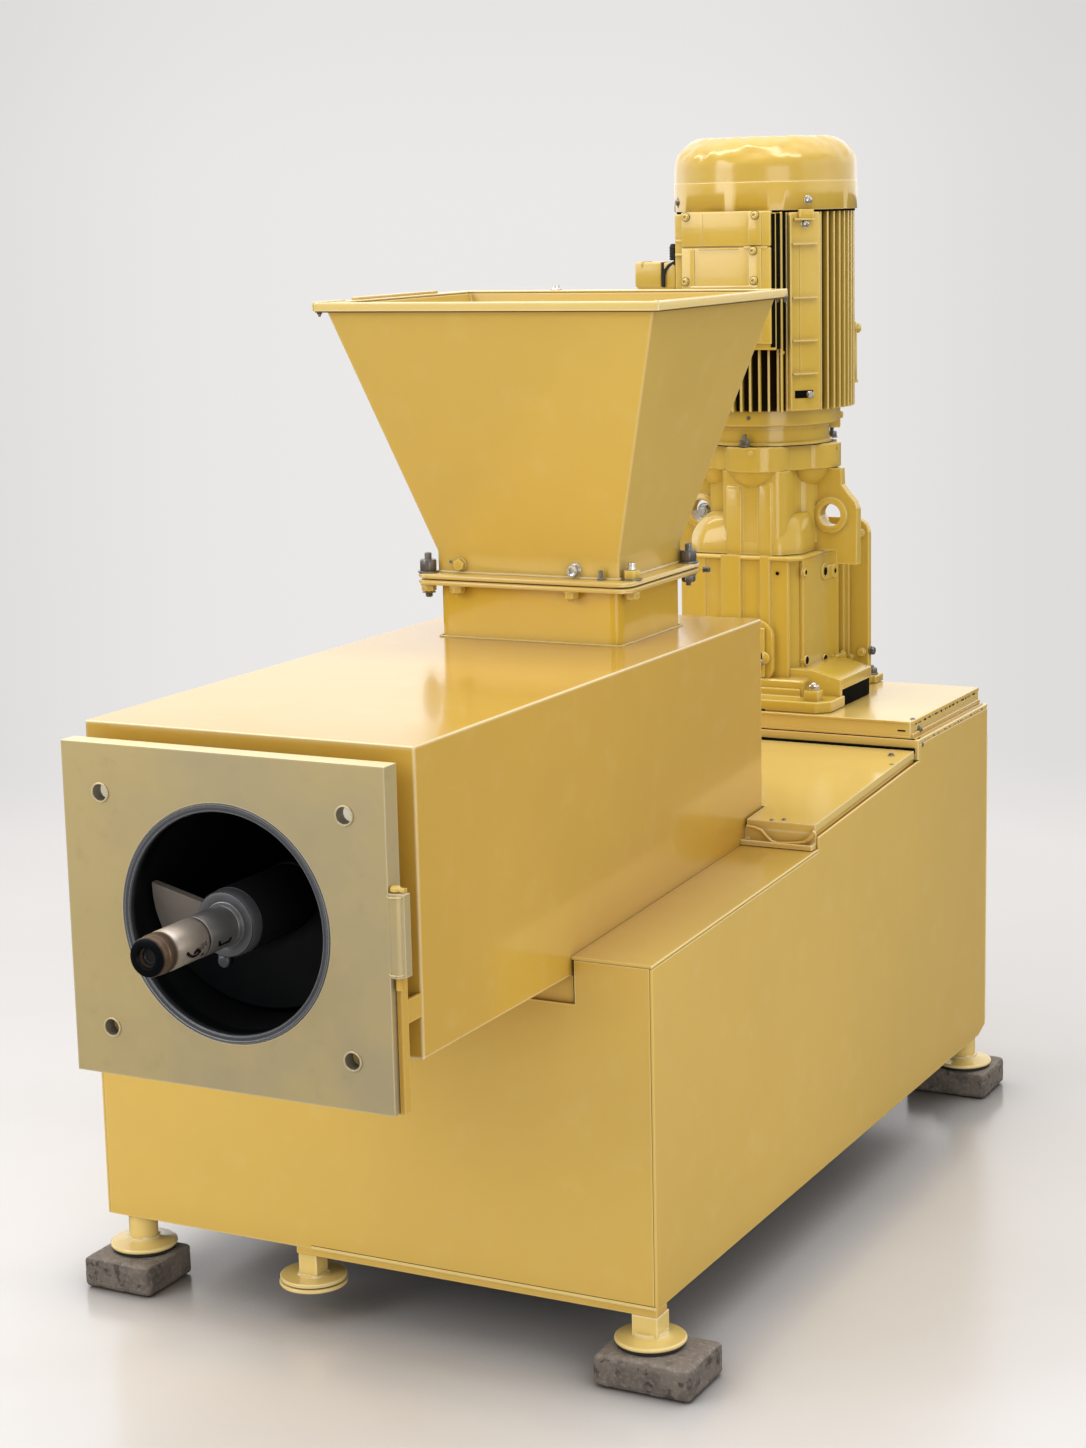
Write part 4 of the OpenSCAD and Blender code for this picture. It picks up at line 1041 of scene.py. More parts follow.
piece("cable_gland_and_cable", joined(
    put(turned([(4.2, 0), (5, 1), (5, 20), (4, 23), (2, 24)], 20), (*gland, 1303)),
    *(put(disc(5.9, 2.2)[0], (*gland, z)) for z in (1304, 1308, 1312, 1316, 1320)),
    swept([(box.x0 + x, face_y + y, z) for x, y, z in (
        (1, 6, 1299), (-3, 4, 1300), (-10, 1, 1296), (-16, 0, 1289), (-18, -0.5, 1280),
        (-18, -0.5, 1264))], 2.2),
    put(nut(8, 5)[0], (box.x0 - 3, face_y + 5, 1299), RIGHT)), RUBBER)
aux = span("auxiliary_box")
piece("auxiliary_box_lid", joined(
    block(aux.x0 - 2, -7.5, aux.y0 - 2, aux.y1 + 2, aux.z0 + 3, aux.z1 + 2, 4, 3),
    block(aux.x0 + 8, aux.x0 + 12, aux.y0 - 2.8, aux.y1 + 2, aux.z1 - 6, aux.z1 + 2.8, 0.5),
    block(-4.5, aux.x1, aux.y0 - 1.2, aux.y1 + 1, aux.z0 + 3, aux.z1 + 1, 3, 3)), CAST)
piece("auxiliary_box_seal", block(
    -8.5, -4, aux.y0 - 1.4, aux.y1 + 1.4, aux.z0 + 3.6, aux.z1 + 1.2, 3, 3), RUBBER)

# ---- Motor adapter, flange and bell ----

shield_z = adapter.z1 - 24
fixings("shield_screws", BLUED, [
    (off_drive(107.6, -82, shield_z + 13), outward(-82), [disc(3.2, 0.8), dome(2.4, 1.6)], 0),
    (off_drive(103, 44, shield_z), DOWN, stud_nut(12, 7, 4), 10),
    (off_drive(103, -130, shield_z), DOWN, stud_nut(12, 7, 4), 10),
    (off_drive(93.8, -55, shield_z - 4), outward(-55), [disc(1.8, 0.6), disc(1, 0.4)], 0)])
piece("shield_flange_ears", joined(*(
    put(joined(block(96, 117, -11, 11, 0, 11, 4, 3), block(96, 113, -8, 8, -14, 25, 2, 2)),
        (drive_x, drive_y, shield_z + 1), UP, a) for a in (37, 127, 217))), CAST)
fixings("flange_stud_nuts", BLUED, [
    (off_drive(103.5, a, gear_flange.z1 + 1), UP, stud_nut(13, 8, 8), 7)
    for a in (-86, 41, 101, 191)])
piece("flange_seat", joined(
    drive_ring([(92, 0), (98.5, 0.6), (98.5, 4), (96, 6), (92, 7)], gear_flange.z1),
    drive_ring([(92, 0), (95.4, 0.8), (95.4, 5), (92, 6)], gear_flange.z1 + 24)), CAST)
piece("dark_line_on_the_flange", drive_ring(
    [(90, 0), (99.6, 0), (99.6, 0.9), (90, 0.9)], gear_flange.z1 - 0.2), SHADOW_AND_MARK_BLACK)
fixings("flange_rim_plugs", CAST, [
    (off_drive(111.6, -80, gear_flange.z0 + 29), outward(-80), [disc(4.4, 1.0), nut(5.4, 1)], 0),
    (off_drive(111.2, 4, gear_flange.z0 + 29), outward(4), [disc(3, 0.8), disc(1.4, 0.4)], 0)])
piece("aprons_under_the_flange_lobes", joined(*(
    put(turned([(26, -30), (36, -22), (44, -12), (49.5, 0), (50.5, 4)], 56),
        off_drive(59, a, gear_flange.z0)) for a in (-78.5, 11.5, 101.5, 191.5))), CAST, crease=60)
gear_front = gear.y0 + 8
gear_right = gear.x1 - 8


def column(x0, x1, y0, y1, z0, z1, corner, crown=0.0):
    """An upright cast rib with round corners. Its top may be crowned."""
    quarter = [math.radians(a) for a in range(0, 91, 15)]
    left, right, front = x0 + corner, x1 - corner, y0 + corner
    outline = [(left - corner * math.cos(a), front - corner * math.sin(a)) for a in quarter]
    outline += [(right + corner * math.sin(a), front - corner * math.cos(a)) for a in quarter]
    outline += [(x1, y1), (x0, y1)]
    middle = (x0 + x1) / 2
    narrow, back = (0.35, 0.85) if crown else (0, 0.12)
    levels = [(z0, 0.0)] + [(z1 - crown + crown * math.sin(a), 1 - math.cos(a)) for a in quarter]
    return skin([[(middle + (x - middle) * (1 - lean * narrow), y + (y1 - y) * lean * back, z)
                  for x, y in outline] for z, lean in levels])


piece("columns_on_the_front_of_the_bell", joined(
    column(58, 162, drive_y - 92, drive_y - 40, gear.z1 - 2, gear_flange.z0 + 1, 20),
    column(70, 97, drive_y - 95.5, drive_y - 70, gear.z1 - 2, 974, 5, 12),
    column(122, 146, drive_y - 95, drive_y - 70, gear.z1 - 2, 980, 5, 12)), CAST, crease=50)


def flare():
    """The domed foot of the bell, from a circle to the body's outline with cut corners."""
    half_x, half_y, corner = (gear_right - gear.x0 - 8) / 2 - 3, 93, 26
    rows = []
    count = 96
    for k in range(9):
        turn = math.radians(k * 90 / 8)
        grow = math.sin(turn)
        row = []
        for i in range(count):
            angle = math.tau * i / count
            c, s = math.cos(angle), math.sin(angle)
            reach = min(half_x / max(abs(c), 1e-6), half_y / max(abs(s), 1e-6),
                        (half_x + half_y - corner) / (abs(c) + abs(s)))
            radius = 76 * (1 - grow) + reach * grow
            row.append((drive_x - 10 * grow + radius * c, drive_y + radius * s,
                        gear.z1 + 1 + 58 * math.cos(turn)))
        rows.append(row)
    return skin(rows)


piece("domed_foot_of_the_bell", flare(), CAST, crease=60)
eye_z = gear.z1 + 54
eye_y = drive_y - 11
piece("lips_round_the_lifting_eyes", joined(*(
    put(turned([(16.4, -4), (16.7, 1.0), (18, 2.2), (24, 2.0), (26.8, 0.6), (27.2, -3)], 56, True),
        (drive_x + side * 106, eye_y, eye_z), FRONT) for side in (-1, 1))), CAST)
fixings("bolt_in_the_left_eye", ZINC, [
    ((drive_x - 104, eye_y + 12, eye_z - 1), FRONT, [disc(12, 3), nut(17, 8), disc(5, 2)], 8)])

# ---- Gearbox body ----

piece("ribs_on_the_gearbox", joined(
    column(-2, gear_right - 10, gear_front - 3.4, gear_front + 2, gear.z0 + 2, gear.z1 - 1.5, 3.2),
    column(64, 98.5, gear_front - 8.5, gear_front + 2, gear.z0 + 30, gear.z1 + 0.3, 4.5),
    column(127, 146, gear_front - 8.2, gear_front + 2, gear.z0 + 20, gear.z1 + 0.3, 4.5),
    column(-1, 40, gear_front - 6.2, gear_front + 2, gear.z0 + 4, gear.z1 - 2, 3),
    blocks((gear_right, drive_y, 0), (-1, 5.4, -79, 60, gear.z0 + 6, gear.z1 - 6, 2.6, 3),
           (-4, 3.5, 60, 72, gear.z0 + 4, gear.z1 - 8, 2.4, 3),
           (-14, 3, 94, 103, gear.z0 + 2, gear.z1 - 8, 2, 3),
           (2, 10, 98, 104, gear_foot.z0 + 40, gear.z1 + 20, 2, 3),
           (-1, 9, -72, 90, gear.z0 + 12, gear.z0 + 24, 1.8, 3))), CAST)
# y and z of the middle, pad radius and height, hole radius and its x from the body's side
ROUND_PADS = ((drive_y + 4.3, 832.2, 13, 6, 4.8, 8.1), (drive_y + 45, 828, 11, 6, 2.2, 8.1),
              (drive_y - 72, 707.4, 8, 6.4, 4.4, 8.5), (drive_y + 5, 697.5, 7.5, 5.4, 5.0, 7.5),
              (drive_y + 48, 689.4, 8, 9, 3.0, 11.1))
piece("pads_on_the_right_of_the_gearbox", joined(
    *(put(turned([(r, -1), (r, h - 1.2), (r - 1.2, h), (0, h)], 40), (gear_right + 2, y, z), RIGHT)
      for y, z, r, h, _, _ in ROUND_PADS),
    block(gear_right + 1, gear_right + 7.4, drive_y + 4, drive_y + 46, 819, 840, 2.5),
    stacked((gear_right + 5, 994, 841.3), RIGHT, disc(8.4, 1.2), nut(12, 3.4), spin=15),
    stacked((gear_right + 2, drive_y + 86, 690), RIGHT, disc(8, 3), nut(11, 3))), CAST)
GEARBOX_HOLES = [(y, z, r, x) for y, z, _, _, r, x in ROUND_PADS]
GEARBOX_HOLES += [(994, 841.3, 2.0, 9.7), (drive_y + 86, 690, 2.2, 8.0)]
piece("holes_in_the_gearbox", joined(
    *(put(turned([(r + 1.4, 0), (r + 1.2, 0.5), (r, 0.7), (r * 0.6, 0.3), (0, 0.2)], 32),
          (gear_right + x, y, z), RIGHT) for y, z, r, x in GEARBOX_HOLES),
    put(turned([(2.8, 0), (2.4, 0.6), (0, 0.4)], 24), (156, gear_front - 5.1, 841), FRONT)), SHADOW_AND_MARK_BLACK)
cover_y = drive_y - 110
piece("bearing_cover_rim", joined(
    block(58, 140, cover_y - 5, cover_y + 2, gear.z0 + 12, gear.z0 + 88, 7, 4),
    put(turned([(9.5, -12), (9.5, 6), (8.5, 7), (0, 7)], 32), (138, cover_y + 2, 714), FRONT),
    put(turned([(7, -12), (7, 8), (6, 9), (0, 9)], 32), (70, cover_y + 2, 714), FRONT)),
    CAST, crease=50)
fixings("cover_bolts", ZINC, [
    ((133, cover_y - 5, 706.5), FRONT, [disc(6.4, 2), socket_head(6, 9)], 0),
    ((70, cover_y - 5, 706.5), FRONT, [disc(6.4, 2), socket_head(6, 9)], 0)])
foot_top = 660
tunnel_right = 254


def cross_sheet(points, y0, y1, edge):
    """A solid standing across the machine, from its (x, z) outline."""
    mesh = pulled(points, y1 - y0, edge)
    mesh.transform(Matrix(((1, 0, 0, 0), (0, 0, -1, y1), (0, 1, 0, 0), (0, 0, 0, 1))))
    return mesh


hood_top = [(tunnel_right, gear.z0 + 13), (gear_right + 26, gear.z0 + 25),
            (gear_right - 30, gear.z0 + 27)]
piece("foot_blocks", joined(
    block(215, 238, 926, 948, foot_top - 1, foot_top + 15, 2.2),
    block(-38, -19, 928, 946, foot_top - 1, foot_top + 13, 1.8),
    block(-8, 203, gear_foot.y0 + 38, 992, foot_top - 16, gear.z0 + 12, 5, 3),
    *(cross_sheet([(gear_right - 30, low), (tunnel_right, low)] + hood_top, y0, y1, 1.2)
      for low, y0, y1 in ((gear_foot.z0 + 0.3, 976, 984), (gear.z0 - 3, 982, 1106)))), CAST)
piece("dark_tunnel_under_the_gearbox", joined(
    block(gear_right - 40, tunnel_right - 0.6, 985, 1098, gear_foot.z0 + 0.6, gear.z0 - 3.2, 0.5),
    block(-4, 20, 1010, 1120, gear_foot.z0 + 0.6, gear.z0 - 1, 1)), SHADOW_AND_MARK_BLACK)
fixings("foot_bolts", ZINC, [
    ((226.5, 937, foot_top + 15), UP, [nut(16, 8), stud(4, 3)], 10),
    ((-28.5, 937, foot_top + 13), UP, [nut(16, 8), stud(4, 3)], 10)])
piece("gap_under_the_foot", blocks(
    (0, gear_foot.y0, gear_foot.z0), (-10, 146, -0.7, 3, -0.2, 5.6, 0.2),
    (146, 158, -0.6, 3, -0.2, 2.6, 0.2)), SHADOW_AND_MARK_BLACK)
bracket_right = drive_x + 124
fixings("bracket_bolts", BLUED, [
    ((bracket_right - 0.5, drive_y + 110, 696), RIGHT, [disc(7, 2), nut(11, 6)], 0),
    ((bracket_right - 6, bracket.y0 + 30, gear_foot.z0 + 12), UP, stud_nut(15, 8, 4), 0),
    ((-12, bracket.y0 + 30, gear_foot.z0 + 12), UP, stud_nut(15, 8, 4), 0),
    ((bracket_right - 22, bracket.y0, 884), FRONT, [disc(9, 1.5), nut(13, 6), disc(4, 2)], 0)])
fixings("bracket_screws", CAST, [
    ((x, bracket.y0, z), FRONT, [disc(7, 2), nut(11, 5)], 0)
    for x, z in ((212, 694), (192, 684), (210, 880), (-15, 694), (-15, 880))])

# ---- Plinth, deck and tray ----

upper_top = upper_plate.z1
lower_top = lower_plate.z1
fixings("deck_and_plinth_screws", BLUED, [
    ((372, 872, deck.z1 - 2.6), UP, [disc(5, 1.0), nut(7, 2.4)], 0),
    ((389, 828, deck.z1 - 5.6), UP, [disc(3, 0.8), disc(2, 0.4)], 0),
    ((384, 929, upper_top), UP, [disc(4, 0.8), dome(3, 1.4)], 0),
    ((upper_plate.x1, 942, upper_top - 17), RIGHT, [disc(5.4, 1.2), nut(7, 3), disc(2, 2)], 0),
    ((lower_plate.x1 - 0.4, 927, 607), RIGHT, [disc(3.6, 0.8), disc(2.6, 0.4)], 0)])
piece("dark_gaps_round_the_plinth", joined(
    block(lower_plate.x0 + 6, lower_plate.x1 - 6, upper_plate.y0 - 0.5, upper_plate.y0 + 3,
          lower_top - 0.3, lower_top + 1.0, 0.2),
    block(deck.x0, deck.x1, deck.y1 + 1, lower_plate.y0 + 0.5, deck.z1 - 4, deck.z1 + 3.2, 0.2),
    block(368, 380, upper_plate.y0 - 0.5, upper_plate.y0 + 1, upper_top - 15, upper_top - 13, 0.2),
    block(cabinet.x1 - 30, cabinet.x1 - 3, lower_plate.y0 + 10, lower_plate.y0 + 18, lower_top - 0.1,
          lower_top + 0.5, 0.2)), SHADOW_AND_MARK_BLACK)
chips = []
for chip in range(26):
    chip_y = 930 + 10.5 * chip + 4 * math.sin(chip * 2.7)
    size = 2.2 + 1.4 * math.sin(chip * 5.1)
    tall = 0.7 + 0.5 * math.sin(chip * 3.3)
    chips.append(block(upper_plate.x1 - 1, upper_plate.x1 + 0.5, chip_y, chip_y + size * 1.8,
                       upper_top - 7.2 - tall, upper_top - 6.6 + tall, 0.1, 1))
    chips.append(block(lower_plate.x1 - 3, lower_plate.x1 + 0.2, chip_y + 5, chip_y + 5 + size * 1.4,
                       lower_top - 5.2, lower_top - 4.6 + tall, 0.1, 1))
piece("dark_chips_along_the_plinth", joined(*chips), SHADOW_AND_MARK_BLACK)
piece("folded_lips_of_the_upper_plate", joined(
    blocks((0, upper_plate.y0, 0),
           (upper_plate.x0 + 2, upper_plate.x1 - 2, -1.6, 2, upper_top - 3.6, upper_top + 0.2, 1.2, 3),
           (upper_plate.x0 + 2, upper_plate.x1 - 2, -1.0, 2, lower_top + 1, lower_top + 4.6, 1.0)),
    blocks((upper_plate.x1 - 3, 0, 0),
           (0, 4.8, upper_plate.y0 + 3, upper_plate.y1 - 3, upper_top - 5.2, upper_top + 0.3, 1.4, 3),
           (0, 6.4, upper_plate.y0 + 2, upper_plate.y1 - 2, lower_top + 2, lower_top + 8.2, 1.8, 3),
           (0, 10.4, upper_plate.y0 + 1, upper_plate.y1 - 1, lower_top - 0.5, lower_top + 2.2, 0.8))),
    CABINET)


def side_sheet(points, x0, x1, edge):
    """A sheet standing along the machine, from its (y, z) outline."""
    mesh = pulled(points, x1 - x0, edge)
    mesh.transform(Matrix(((0, 0, 1, x0), (1, 0, 0, 0), (0, 1, 0, 0), (0, 0, 0, 1))))
    return mesh


strip_front, strip_back = deck.y0 + 2, deck.y1 - 2
strip_low, strip_high = 550, 564.5
strip_rise = (deck.z1 - tray.z1 - 12) / (deck.y1 - deck.y0) * (strip_back - deck.y0)
strip_side = [(strip_front, strip_low), (strip_back, strip_low + strip_rise),
              (strip_back, strip_high + strip_rise), (strip_front, strip_high)]
piece("closing_strips_under_the_deck_folds", joined(*(
    side_sheet(strip_side, x - 2.4, x + 2.4, 0.8) for x in (-392.6, 392.6))), CABINET)
# y and radius of each rolled edge, with its x and z points
ROLLED_EDGES = (
    (513, 2.5, ((300, 566), (312, 565), (321, 562), (329, 554), (336, 548), (346, 546.5), (372, 549),
                (383, 551.5), (390, 557), (394, 563), (397, 567))),
    (508, 1.8, ((300, 540), (316, 538), (326, 530), (344, 529), (372, 531), (386, 534))))
piece("rolled_lip_of_the_tray", joined(*(
    swept([(x, y, z) for x, z in points], radius) for y, radius, points in ROLLED_EDGES)),
    CABINET, crease=80)
fixings("tray_screws", BLUED, [
    ((331, tray.y1 + 2, 574), UP, [disc(3.6, 0.8), disc(2.4, 0.6)], 0),
    ((346, tray.y1 + 8, 574.6), UP, [disc(3.2, 0.8), nut(4.4, 1.4)], 0)])

# ---- Painted shadow line under the hopper rim ----

rim_shadow_x0, rim_shadow_x1 = rim.x0 + 2.6, rim.x1 - 2.6
rim_shadow_y0, rim_shadow_y1 = rim.y0 + 2.6, rim.y1 - 2.6
rim_shadow_corners = ((rim_shadow_x0, rim_shadow_y0), (rim_shadow_x1, rim_shadow_y0), (rim_shadow_x1, rim_shadow_y1), (rim_shadow_x0, rim_shadow_y1))
piece("brown_shadow_line_under_the_rim", swept(
    [(x, y, rim.z0 - 0.4) for x, y in rim_shadow_corners], 1.1, 8, True), RIM_SHADOW_LINE, crease=80)

# ---- Front recess under the barrel ----

piece("closing_strip_in_the_front_recess", joined(
    block(housing.x0 - 3, housing.x1 + 0.6, 5, 8, housing.z0 - 54, housing.z0 - 0.5, 0.5),
    block(housing.x1 - 64, housing.x1 + 0.6, 1.5, 6, housing.z0 - 54, housing.z0 - 50.5, 0.8)),
    CABINET)
piece("shadow_beside_the_barrel", block(
    housing.x1 + 0.6, housing.x1 + 3.6, 4.6, 12, housing.z0 - 34, housing.z0 + 24, 0.2),
    SHADOW_AND_MARK_BLACK)

# ---- Feet and bricks ----

disc_r = 43
for foot_name in ("foot_front_right", "foot_front_left", "foot_rear_right", "foot_rear_left",
                  "foot_front_middle"):
    foot = span(foot_name)
    bead = [circle(17.4 * side_reach(1.12, 4, a / 7 + math.pi / 4), a / 7) for a in range(44)]
    piece(foot_name + "_disc", put(joined(
        turned([(40, -0.6), (disc_r + 0.6, 0.2), (disc_r + 1.2, 1.8), (disc_r + 1, 4),
                (disc_r - 0.6, 5.2), (disc_r - 3, 5.0), (30, 7.0), (23, 8.4), (20, 10.5), (17, 12)], 56),
        turned([(19, 9), (21.4, 9.6), (21.2, 12), (18, 13.4)], 40),
        swept([(x, y, 12) for x, y in bead], lambda i: 2.4 + 0.5 * math.sin(i * 1.9), 8, True)),
        (foot.x, foot.y, foot.z0)), FOOT, crease=60)
# Painted shade: a near-black sheet under the cabinet darkens the floor beneath it.
piece("shade_sheet_under_the_cabinet", block(
    cabinet.x1 - 794, cabinet.x1 - 6, 6, cabinet.y1 - 6, cabinet.z0 + 5, cabinet.z0 + 8, 0.5), SHADOW_AND_MARK_BLACK)
front_strip_x = span("foot_front_middle").x + 10
piece("folded_strip_under_the_front", blocks(
    (0, 0, cabinet.z0), (front_strip_x, cabinet.x1 - 2, -0.4, 3, -0.6, 4.0, 0.3),
    (cabinet.x0 + 3, front_strip_x, -0.3, 3, 0.5, 2.6, 0.3)), LEDGE)
piece("dark_line_over_the_front_strip", block(
    front_strip_x, cabinet.x1 - 3, -0.15, 2, cabinet.z0 + 4.0, cabinet.z0 + 4.7, 0.05), SHADOW_AND_MARK_BLACK)
# Painted highlights: pale bars along the cabinet's rear corners.
piece("highlight_bars_on_the_rear_corners_of_the_cabinet", joined(*(
    swept([(x, cabinet.y1 - 1.2, z) for z in (cabinet.z0 + 14, 380, lower_plate.z0)], 1.8)
    for x in (span("base_left_panel").x0 + 1.0, cabinet.x1 - 1.0))), FOOT)


BRICK_CUTS = 26
BRICK_DEPTH, BRICK_HEIGHT = 102, 43


def brick_block(low, high, seed):
    """A pressed brick with worn, uneven faces and chipped edges."""
    mesh = block(low[0], high[0], low[1], high[1], low[2], high[2], 0)
    bmesh.ops.subdivide_edges(mesh, edges=mesh.edges[:], cuts=BRICK_CUTS, use_grid_fill=True)
    middle = (Vector(low) + Vector(high)) / 2
    half = (Vector(high) - Vector(low)) / 2
    round_r = 7.0
    for vert in mesh.verts:
        away = vert.co - middle
        inner = Vector([max(-h + round_r, min(h - round_r, a)) for a, h in zip(away, half)])
        out = away - inner
        chip = noise.noise(vert.co * 0.09 + Vector((seed, 0, 0))) * 1.2
        chip += noise.noise(vert.co * 0.31 + Vector((seed, 3, 0))) * 0.5
        if out.length > 1e-6:
            nearness = sum(abs(a) > h - round_r for a, h in zip(away, half))
            reach = round_r - (1.6 + chip * 0.8 if nearness > 1 else 0.6 - 0.35 * chip)
            vert.co = middle + inner + out.normalized() * reach
        if vert.co.z < low[2] + 0.6:
            vert.co.z = low[2]
        if vert.co.z > high[2] - 0.9:
            vert.co.z = high[2] - 0.4 + chip * 0.25
    return mesh


bricks = span("support_bricks")
right_x = bricks.x1 - 65
left_x = bricks.x0 + 53
# x and y of the middle, width, seed of its wear
BRICKS = ((right_x, 11, 130, 1.0), (left_x, 11, 106, 2.7), (right_x - 37, 1205, 130, 4.1),
          (left_x, 1205, 106, 5.9))
piece("worn_bricks", joined(*(
    put(brick_block((-width / 2, -BRICK_DEPTH / 2, 0), (width / 2, BRICK_DEPTH / 2, BRICK_HEIGHT), seed),
        (x, y, 0)) for x, y, width, seed in BRICKS)), BRICK, replaces=["support_bricks"], crease=60)

# ---- Front plate and hinge ----

BOLT_HOLES = [(barrel_x + i * 156, axis_z + j * 133.5) for i in (-1, 1) for j in (-1, 1)]
plate_t = plate.y1 - plate.y0
piece("threads_in_the_bolt_holes", joined(*(
    put(turned([(9.9, 1.2), (9.5, 0)] + [(9.0 + 0.45 * (k % 2), -1.2 * k) for k in range(1, 19)]
               + [(9.6, -plate_t + 0.4), (10.2, -plate_t + 0.2), (10.4, -6)], 40, True),
        (x, plate.y0 + 1.2, z), FRONT) for x, z in BOLT_HOLES)), THREAD, "plate")
piece("rims_of_the_bolt_holes", joined(*(
    put(turned([(9.3, -1), (9.5, 0.25), (10.4, 0.35), (11.2, 0.1), (11.2, -1)], 48, True),
        (x, plate.y0, z), FRONT) for x, z in BOLT_HOLES)), PLATE, "plate")
# Painted light: glowing pale faces in the upper bolt holes.
piece("glowing_faces_deep_in_the_upper_bolt_holes", joined(*(
    put(disc(9.3, 1.5)[0], (x, plate.y0 + 16, z), FRONT) for x, z in BOLT_HOLES if z > axis_z)),
    GLOWING_SPOT, "plate")
piece("dim_faces_deep_in_the_lower_bolt_holes", joined(*(
    put(disc(9.3, 1.5)[0], (x, plate.y0 + 18, z), FRONT) for x, z in BOLT_HOLES if z < axis_z)),
    FOOT, "plate")
pin_top = span("hinge_post").z1
pin = (plate.x1 - 12, plate.y0 + 8, pin_top)
seam_arc = [circle(9.6, math.radians(a)) for a in range(-170, 20, 15)]
piece("hinge_seams", joined(*(
    swept([(pin[0] + x, pin[1] + y, z) for x, y in seam_arc], 0.7, 6) for z in (602, 686))),
    PLATE, "plate", crease=80)
# Painted highlights: pale bars along the housing's top and left front edges.
piece("highlight_bars_on_the_front_edges_of_the_housing", swept(
    [(x, housing.y0 + 0.9, housing.z1 - drop) for x, drop in (
        (housing.x0 + 1.6, 60), (housing.x0 + 1.6, 1.4), (housing.x1 - 1.6, 1.4))], 1.25),
    RIM, crease=60)
piece("hinge_pin_head", joined(
    put(turned([(5, -1), (6.2, 0), (6.2, 3), (4.6, 5)], 32), (*pin[:2], pin_top - 4)),
    blocks(pin, (0, 11, -2.5, 2.5, -5, -0.6, 1.2))), CAST)

# ---- Floor, world and lamps ----

PALE = (0.80, 0.785, 0.775, 1)
FLOOR_NEAR = (0.715, 0.71, 0.72)
FLOOR_FAR = (0.54, 0.522, 0.517)
FLOOR_CLOUD = (0.52, 0.49, 0.475)
FLOOR_SHADOW = (0.07, 0.05, 0.03)
FLOOR_IN_MIRRORS = (0.20, 0.19, 0.18, 1)
FLOOR_SIZE = 30
FADE_START, FADE_END = 2.3, 3.6
BACKDROP_MIDDLE = (-0.477, 0.879, 0)
DAYLIGHT = (1.0, 0.992, 0.985, 1)
LAMP_WHITE = (1.0, 0.992, 0.98)
LAMP_WARM = (1.0, 0.955, 0.89)
# name, spot, target, width and length, watts, colour
LAMPS = (
    ("overhead softbox", (-0.3, -0.2, 3.6), (0, 0, 0.6), (3.0, 3.4), 6, LAMP_WHITE),
    ("left overhead strip", (-1.2, 0.2, 3.2), (0, 0.1, 0.6), (0.4, 2.4), 20, LAMP_WHITE),
    ("right overhead strip", (0.7, 0.1, 3.2), (0, 0.1, 0.6), (0.4, 2.4), 20, LAMP_WHITE),
    ("front softbox", (-2.3, -3.5, 2.3), (0.0, -0.3, 0.55), (2.0, 2.0), 52, LAMP_WHITE),
    ("right softbox", (3.0, -3.0, 0.9), (0.1, -0.3, 0.4), (2.2, 1.6), 30, LAMP_WARM))


def backdrop_group():
    """The backdrop's tone: brightest in its middle and a little darker to the left and right."""
    tree, given, out = new_group("backdrop tone", [("Vector", None)], ["Tone"])
    level = vector_maths(tree, "MULTIPLY", given["Vector"], (1, 1, 0))
    level = vector_maths(tree, "NORMALIZE", level)
    middle = vector_maths(tree, "DOT_PRODUCT", level, BACKDROP_MIDDLE, "Value")
    tree.links.new(ramp(tree, middle, 0.978, 1.0, 0.915, 1.04), out["Tone"])
    return tree


BACKDROP = backdrop_group()


def make_floor():
    """A wide pale floor, slightly glossy, with painted light towards the front and left and painted
    shadow near the machine, that fades into the backdrop's colour far away.
    """
    material, tree, shader, place = new_finish("pale floor")
    drawn = add(tree, "Mapping", {"Vector": place, "Rotation": (0, 0, 0.5), "Scale": (1.2, 1.9, 1.0)})
    veil = clouds(tree, drawn.outputs[0], 1.4, 1.0)
    x, y = add(tree, "SeparateXYZ", {0: place}).outputs[:2]
    # Painted light: the floor's colour is paler towards the front and the left.
    nearness = maths(tree, "SUBTRACT", maths(tree, "MULTIPLY", x, 0.15), y)
    colour = blend(tree, ramp(tree, nearness, -1.3, 0.9), FLOOR_FAR, FLOOR_NEAR)
    cloud = ramp(tree, clouds(tree, place, 2.2, 3.0), 0.35, 0.7, 0.0, 0.22)
    colour = blend(tree, cloud, colour, FLOOR_CLOUD)
    colour = tint(tree, colour, crevice(tree, SHELTER_REACH, 1.15), 0.86, FLOOR_SHADOW)
    wire(tree, shader, Base_Color=colour, Roughness=ramp(tree, veil, 0.3, 0.7, 0.18, 0.25),
         Specular_IOR_Level=0.6)
    far = ramp(tree, vector_maths(tree, "LENGTH", place, output="Value"), FADE_START, FADE_END)
    tone = use(tree, BACKDROP, {"Vector": vector_maths(tree, "SUBTRACT", place, EYE)})
    glow = add(tree, "Emission", {"Color": PALE, "Strength": tone}).outputs[0]
    dull = add(tree, "BsdfDiffuse", {"Color": FLOOR_IN_MIRRORS}).outputs[0]
    path = add(tree, "LightPath").outputs
    near = add(tree, "MixShader", {0: path["Is Glossy Ray"], 1: shader.outputs[0], 2: dull}).outputs[0]
    seen_far = maths(tree, "MULTIPLY", far, path["Is Camera Ray"])
    both = add(tree, "MixShader", {0: seen_far, 1: near, 2: glow}).outputs[0]
    tree.links.new(both, tree.nodes["Material Output"].inputs["Surface"])
    mesh = bmesh.new()
    bmesh.ops.create_grid(mesh, x_segments=1, y_segments=1, size=FLOOR_SIZE)
    data = bpy.data.meshes.new("floor")
    mesh.to_mesh(data)
    mesh.free()
    data.materials.append(material)
    link("floor", data)


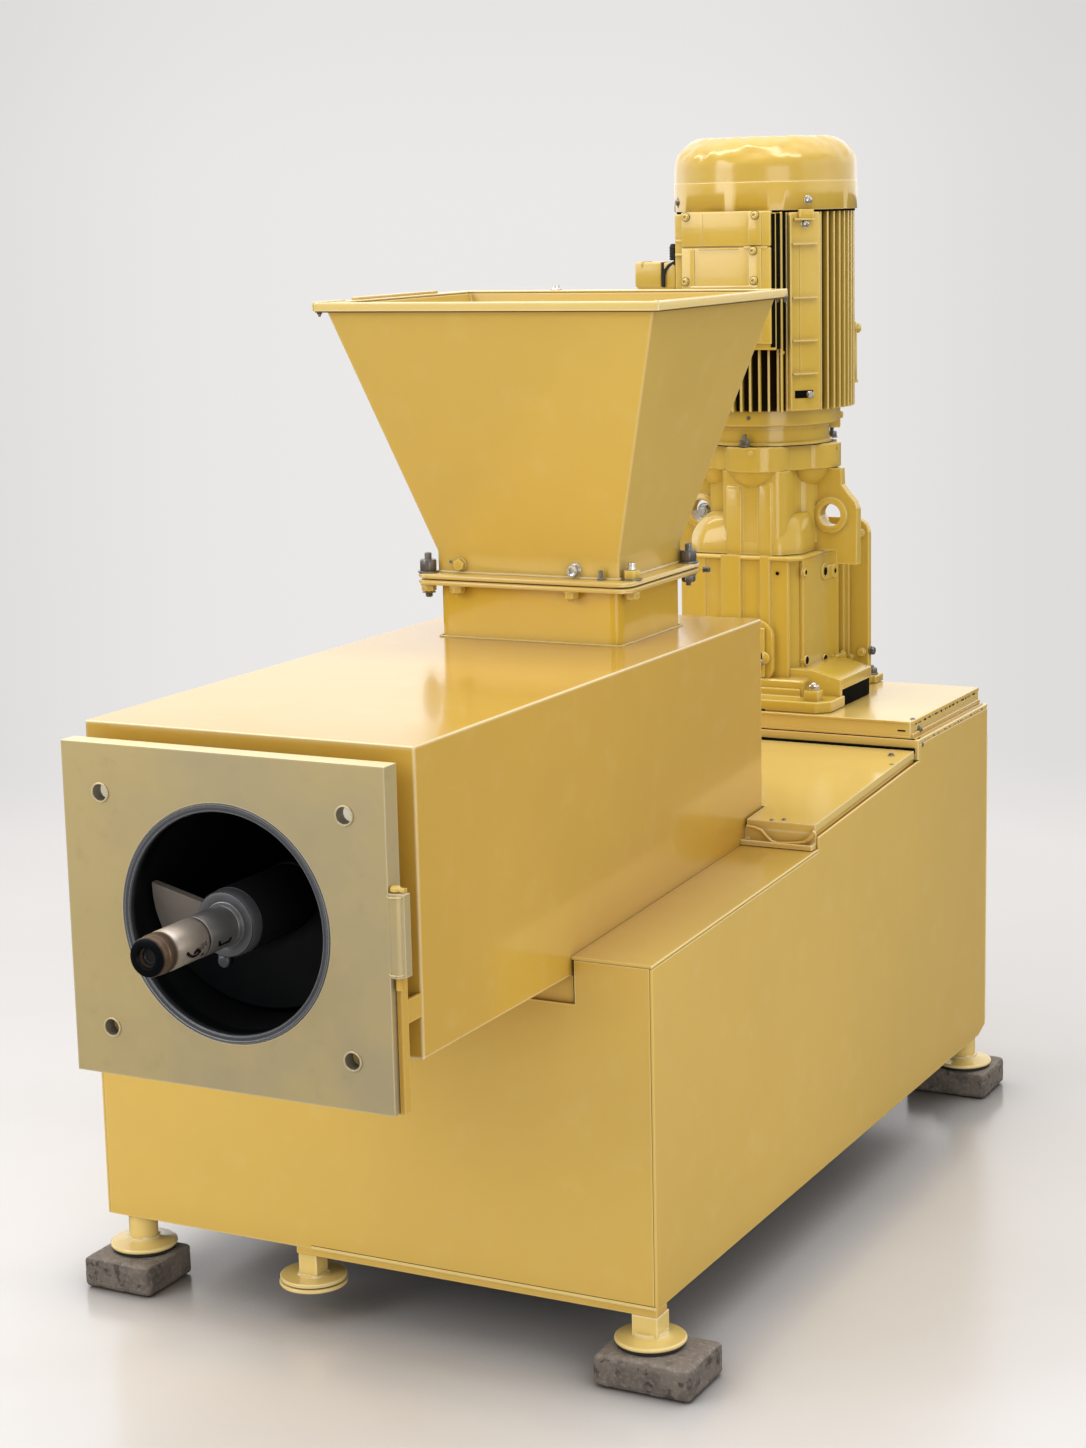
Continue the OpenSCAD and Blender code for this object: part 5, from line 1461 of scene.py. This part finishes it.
def make_world():
    """Soft light from all round, brighter from above. The eye sees one pale tone, and reflections
    see pale cards to the left, to the right and overhead."""
    world = bpy.data.worlds.new("studio")
    world.use_nodes = True
    bpy.context.scene.world = world
    tree = world.node_tree
    direction = add(tree, "TexCoord").outputs["Generated"]
    x, y, z = add(tree, "SeparateXYZ", {0: direction}).outputs
    height = ramp(tree, z, -0.2, 0.9, 0.62, 0.95)
    side = ramp(tree, x, -1.0, 1.0, 1.0, 1.08)
    light = maths(tree, "MULTIPLY", height, side)
    around = add(tree, "Background", {"Color": DAYLIGHT, "Strength": light}).outputs[0]
    behind = ramp(tree, y, -0.2, 0.6, 0.8, 1.7)
    right_card = ramp(tree, x, 0.90, 0.97, 0.0, 1.1)
    left_card = ramp(tree, x, -0.97, -0.85, 0.9, 0.0)
    top_card = ramp(tree, z, 0.60, 0.85, 0.0, 1.1)
    shine = maths(tree, "ADD", maths(tree, "ADD", behind, top_card),
                  maths(tree, "ADD", right_card, left_card))
    glow = maths(tree, "MULTIPLY", use(tree, BACKDROP, {"Vector": direction}),
                 ramp(tree, z, 0.0, 0.09, 1.0, 0.95))
    path = add(tree, "LightPath").outputs
    strength = add(tree, "Mix", {0: path["Is Glossy Ray"], 2: glow, 3: shine}).outputs[0]
    seen = add(tree, "Background", {"Color": PALE, "Strength": strength}).outputs[0]
    direct = maths(tree, "MAXIMUM", path["Is Camera Ray"], path["Is Glossy Ray"])
    direct = maths(tree, "MAXIMUM", direct, path["Is Transmission Ray"])
    both = add(tree, "MixShader", {0: direct, 1: around, 2: seen}).outputs[0]
    tree.links.new(both, tree.nodes["World Output"].inputs["Surface"])


def make_lamp(name, spot, target, size, watts, colour):
    data = bpy.data.lights.new(name, "AREA")
    data.shape = "RECTANGLE"
    data.size, data.size_y = size
    data.energy = watts
    data.color = colour
    lamp = link(name, data)
    lamp.location = spot
    lamp.rotation_euler = (Vector(target) - Vector(spot)).to_track_quat("-Z", "Y").to_euler()


make_floor()
make_world()
for lamp_row in LAMPS:
    make_lamp(*lamp_row)
bpy.context.scene.view_settings.view_transform = "Standard"
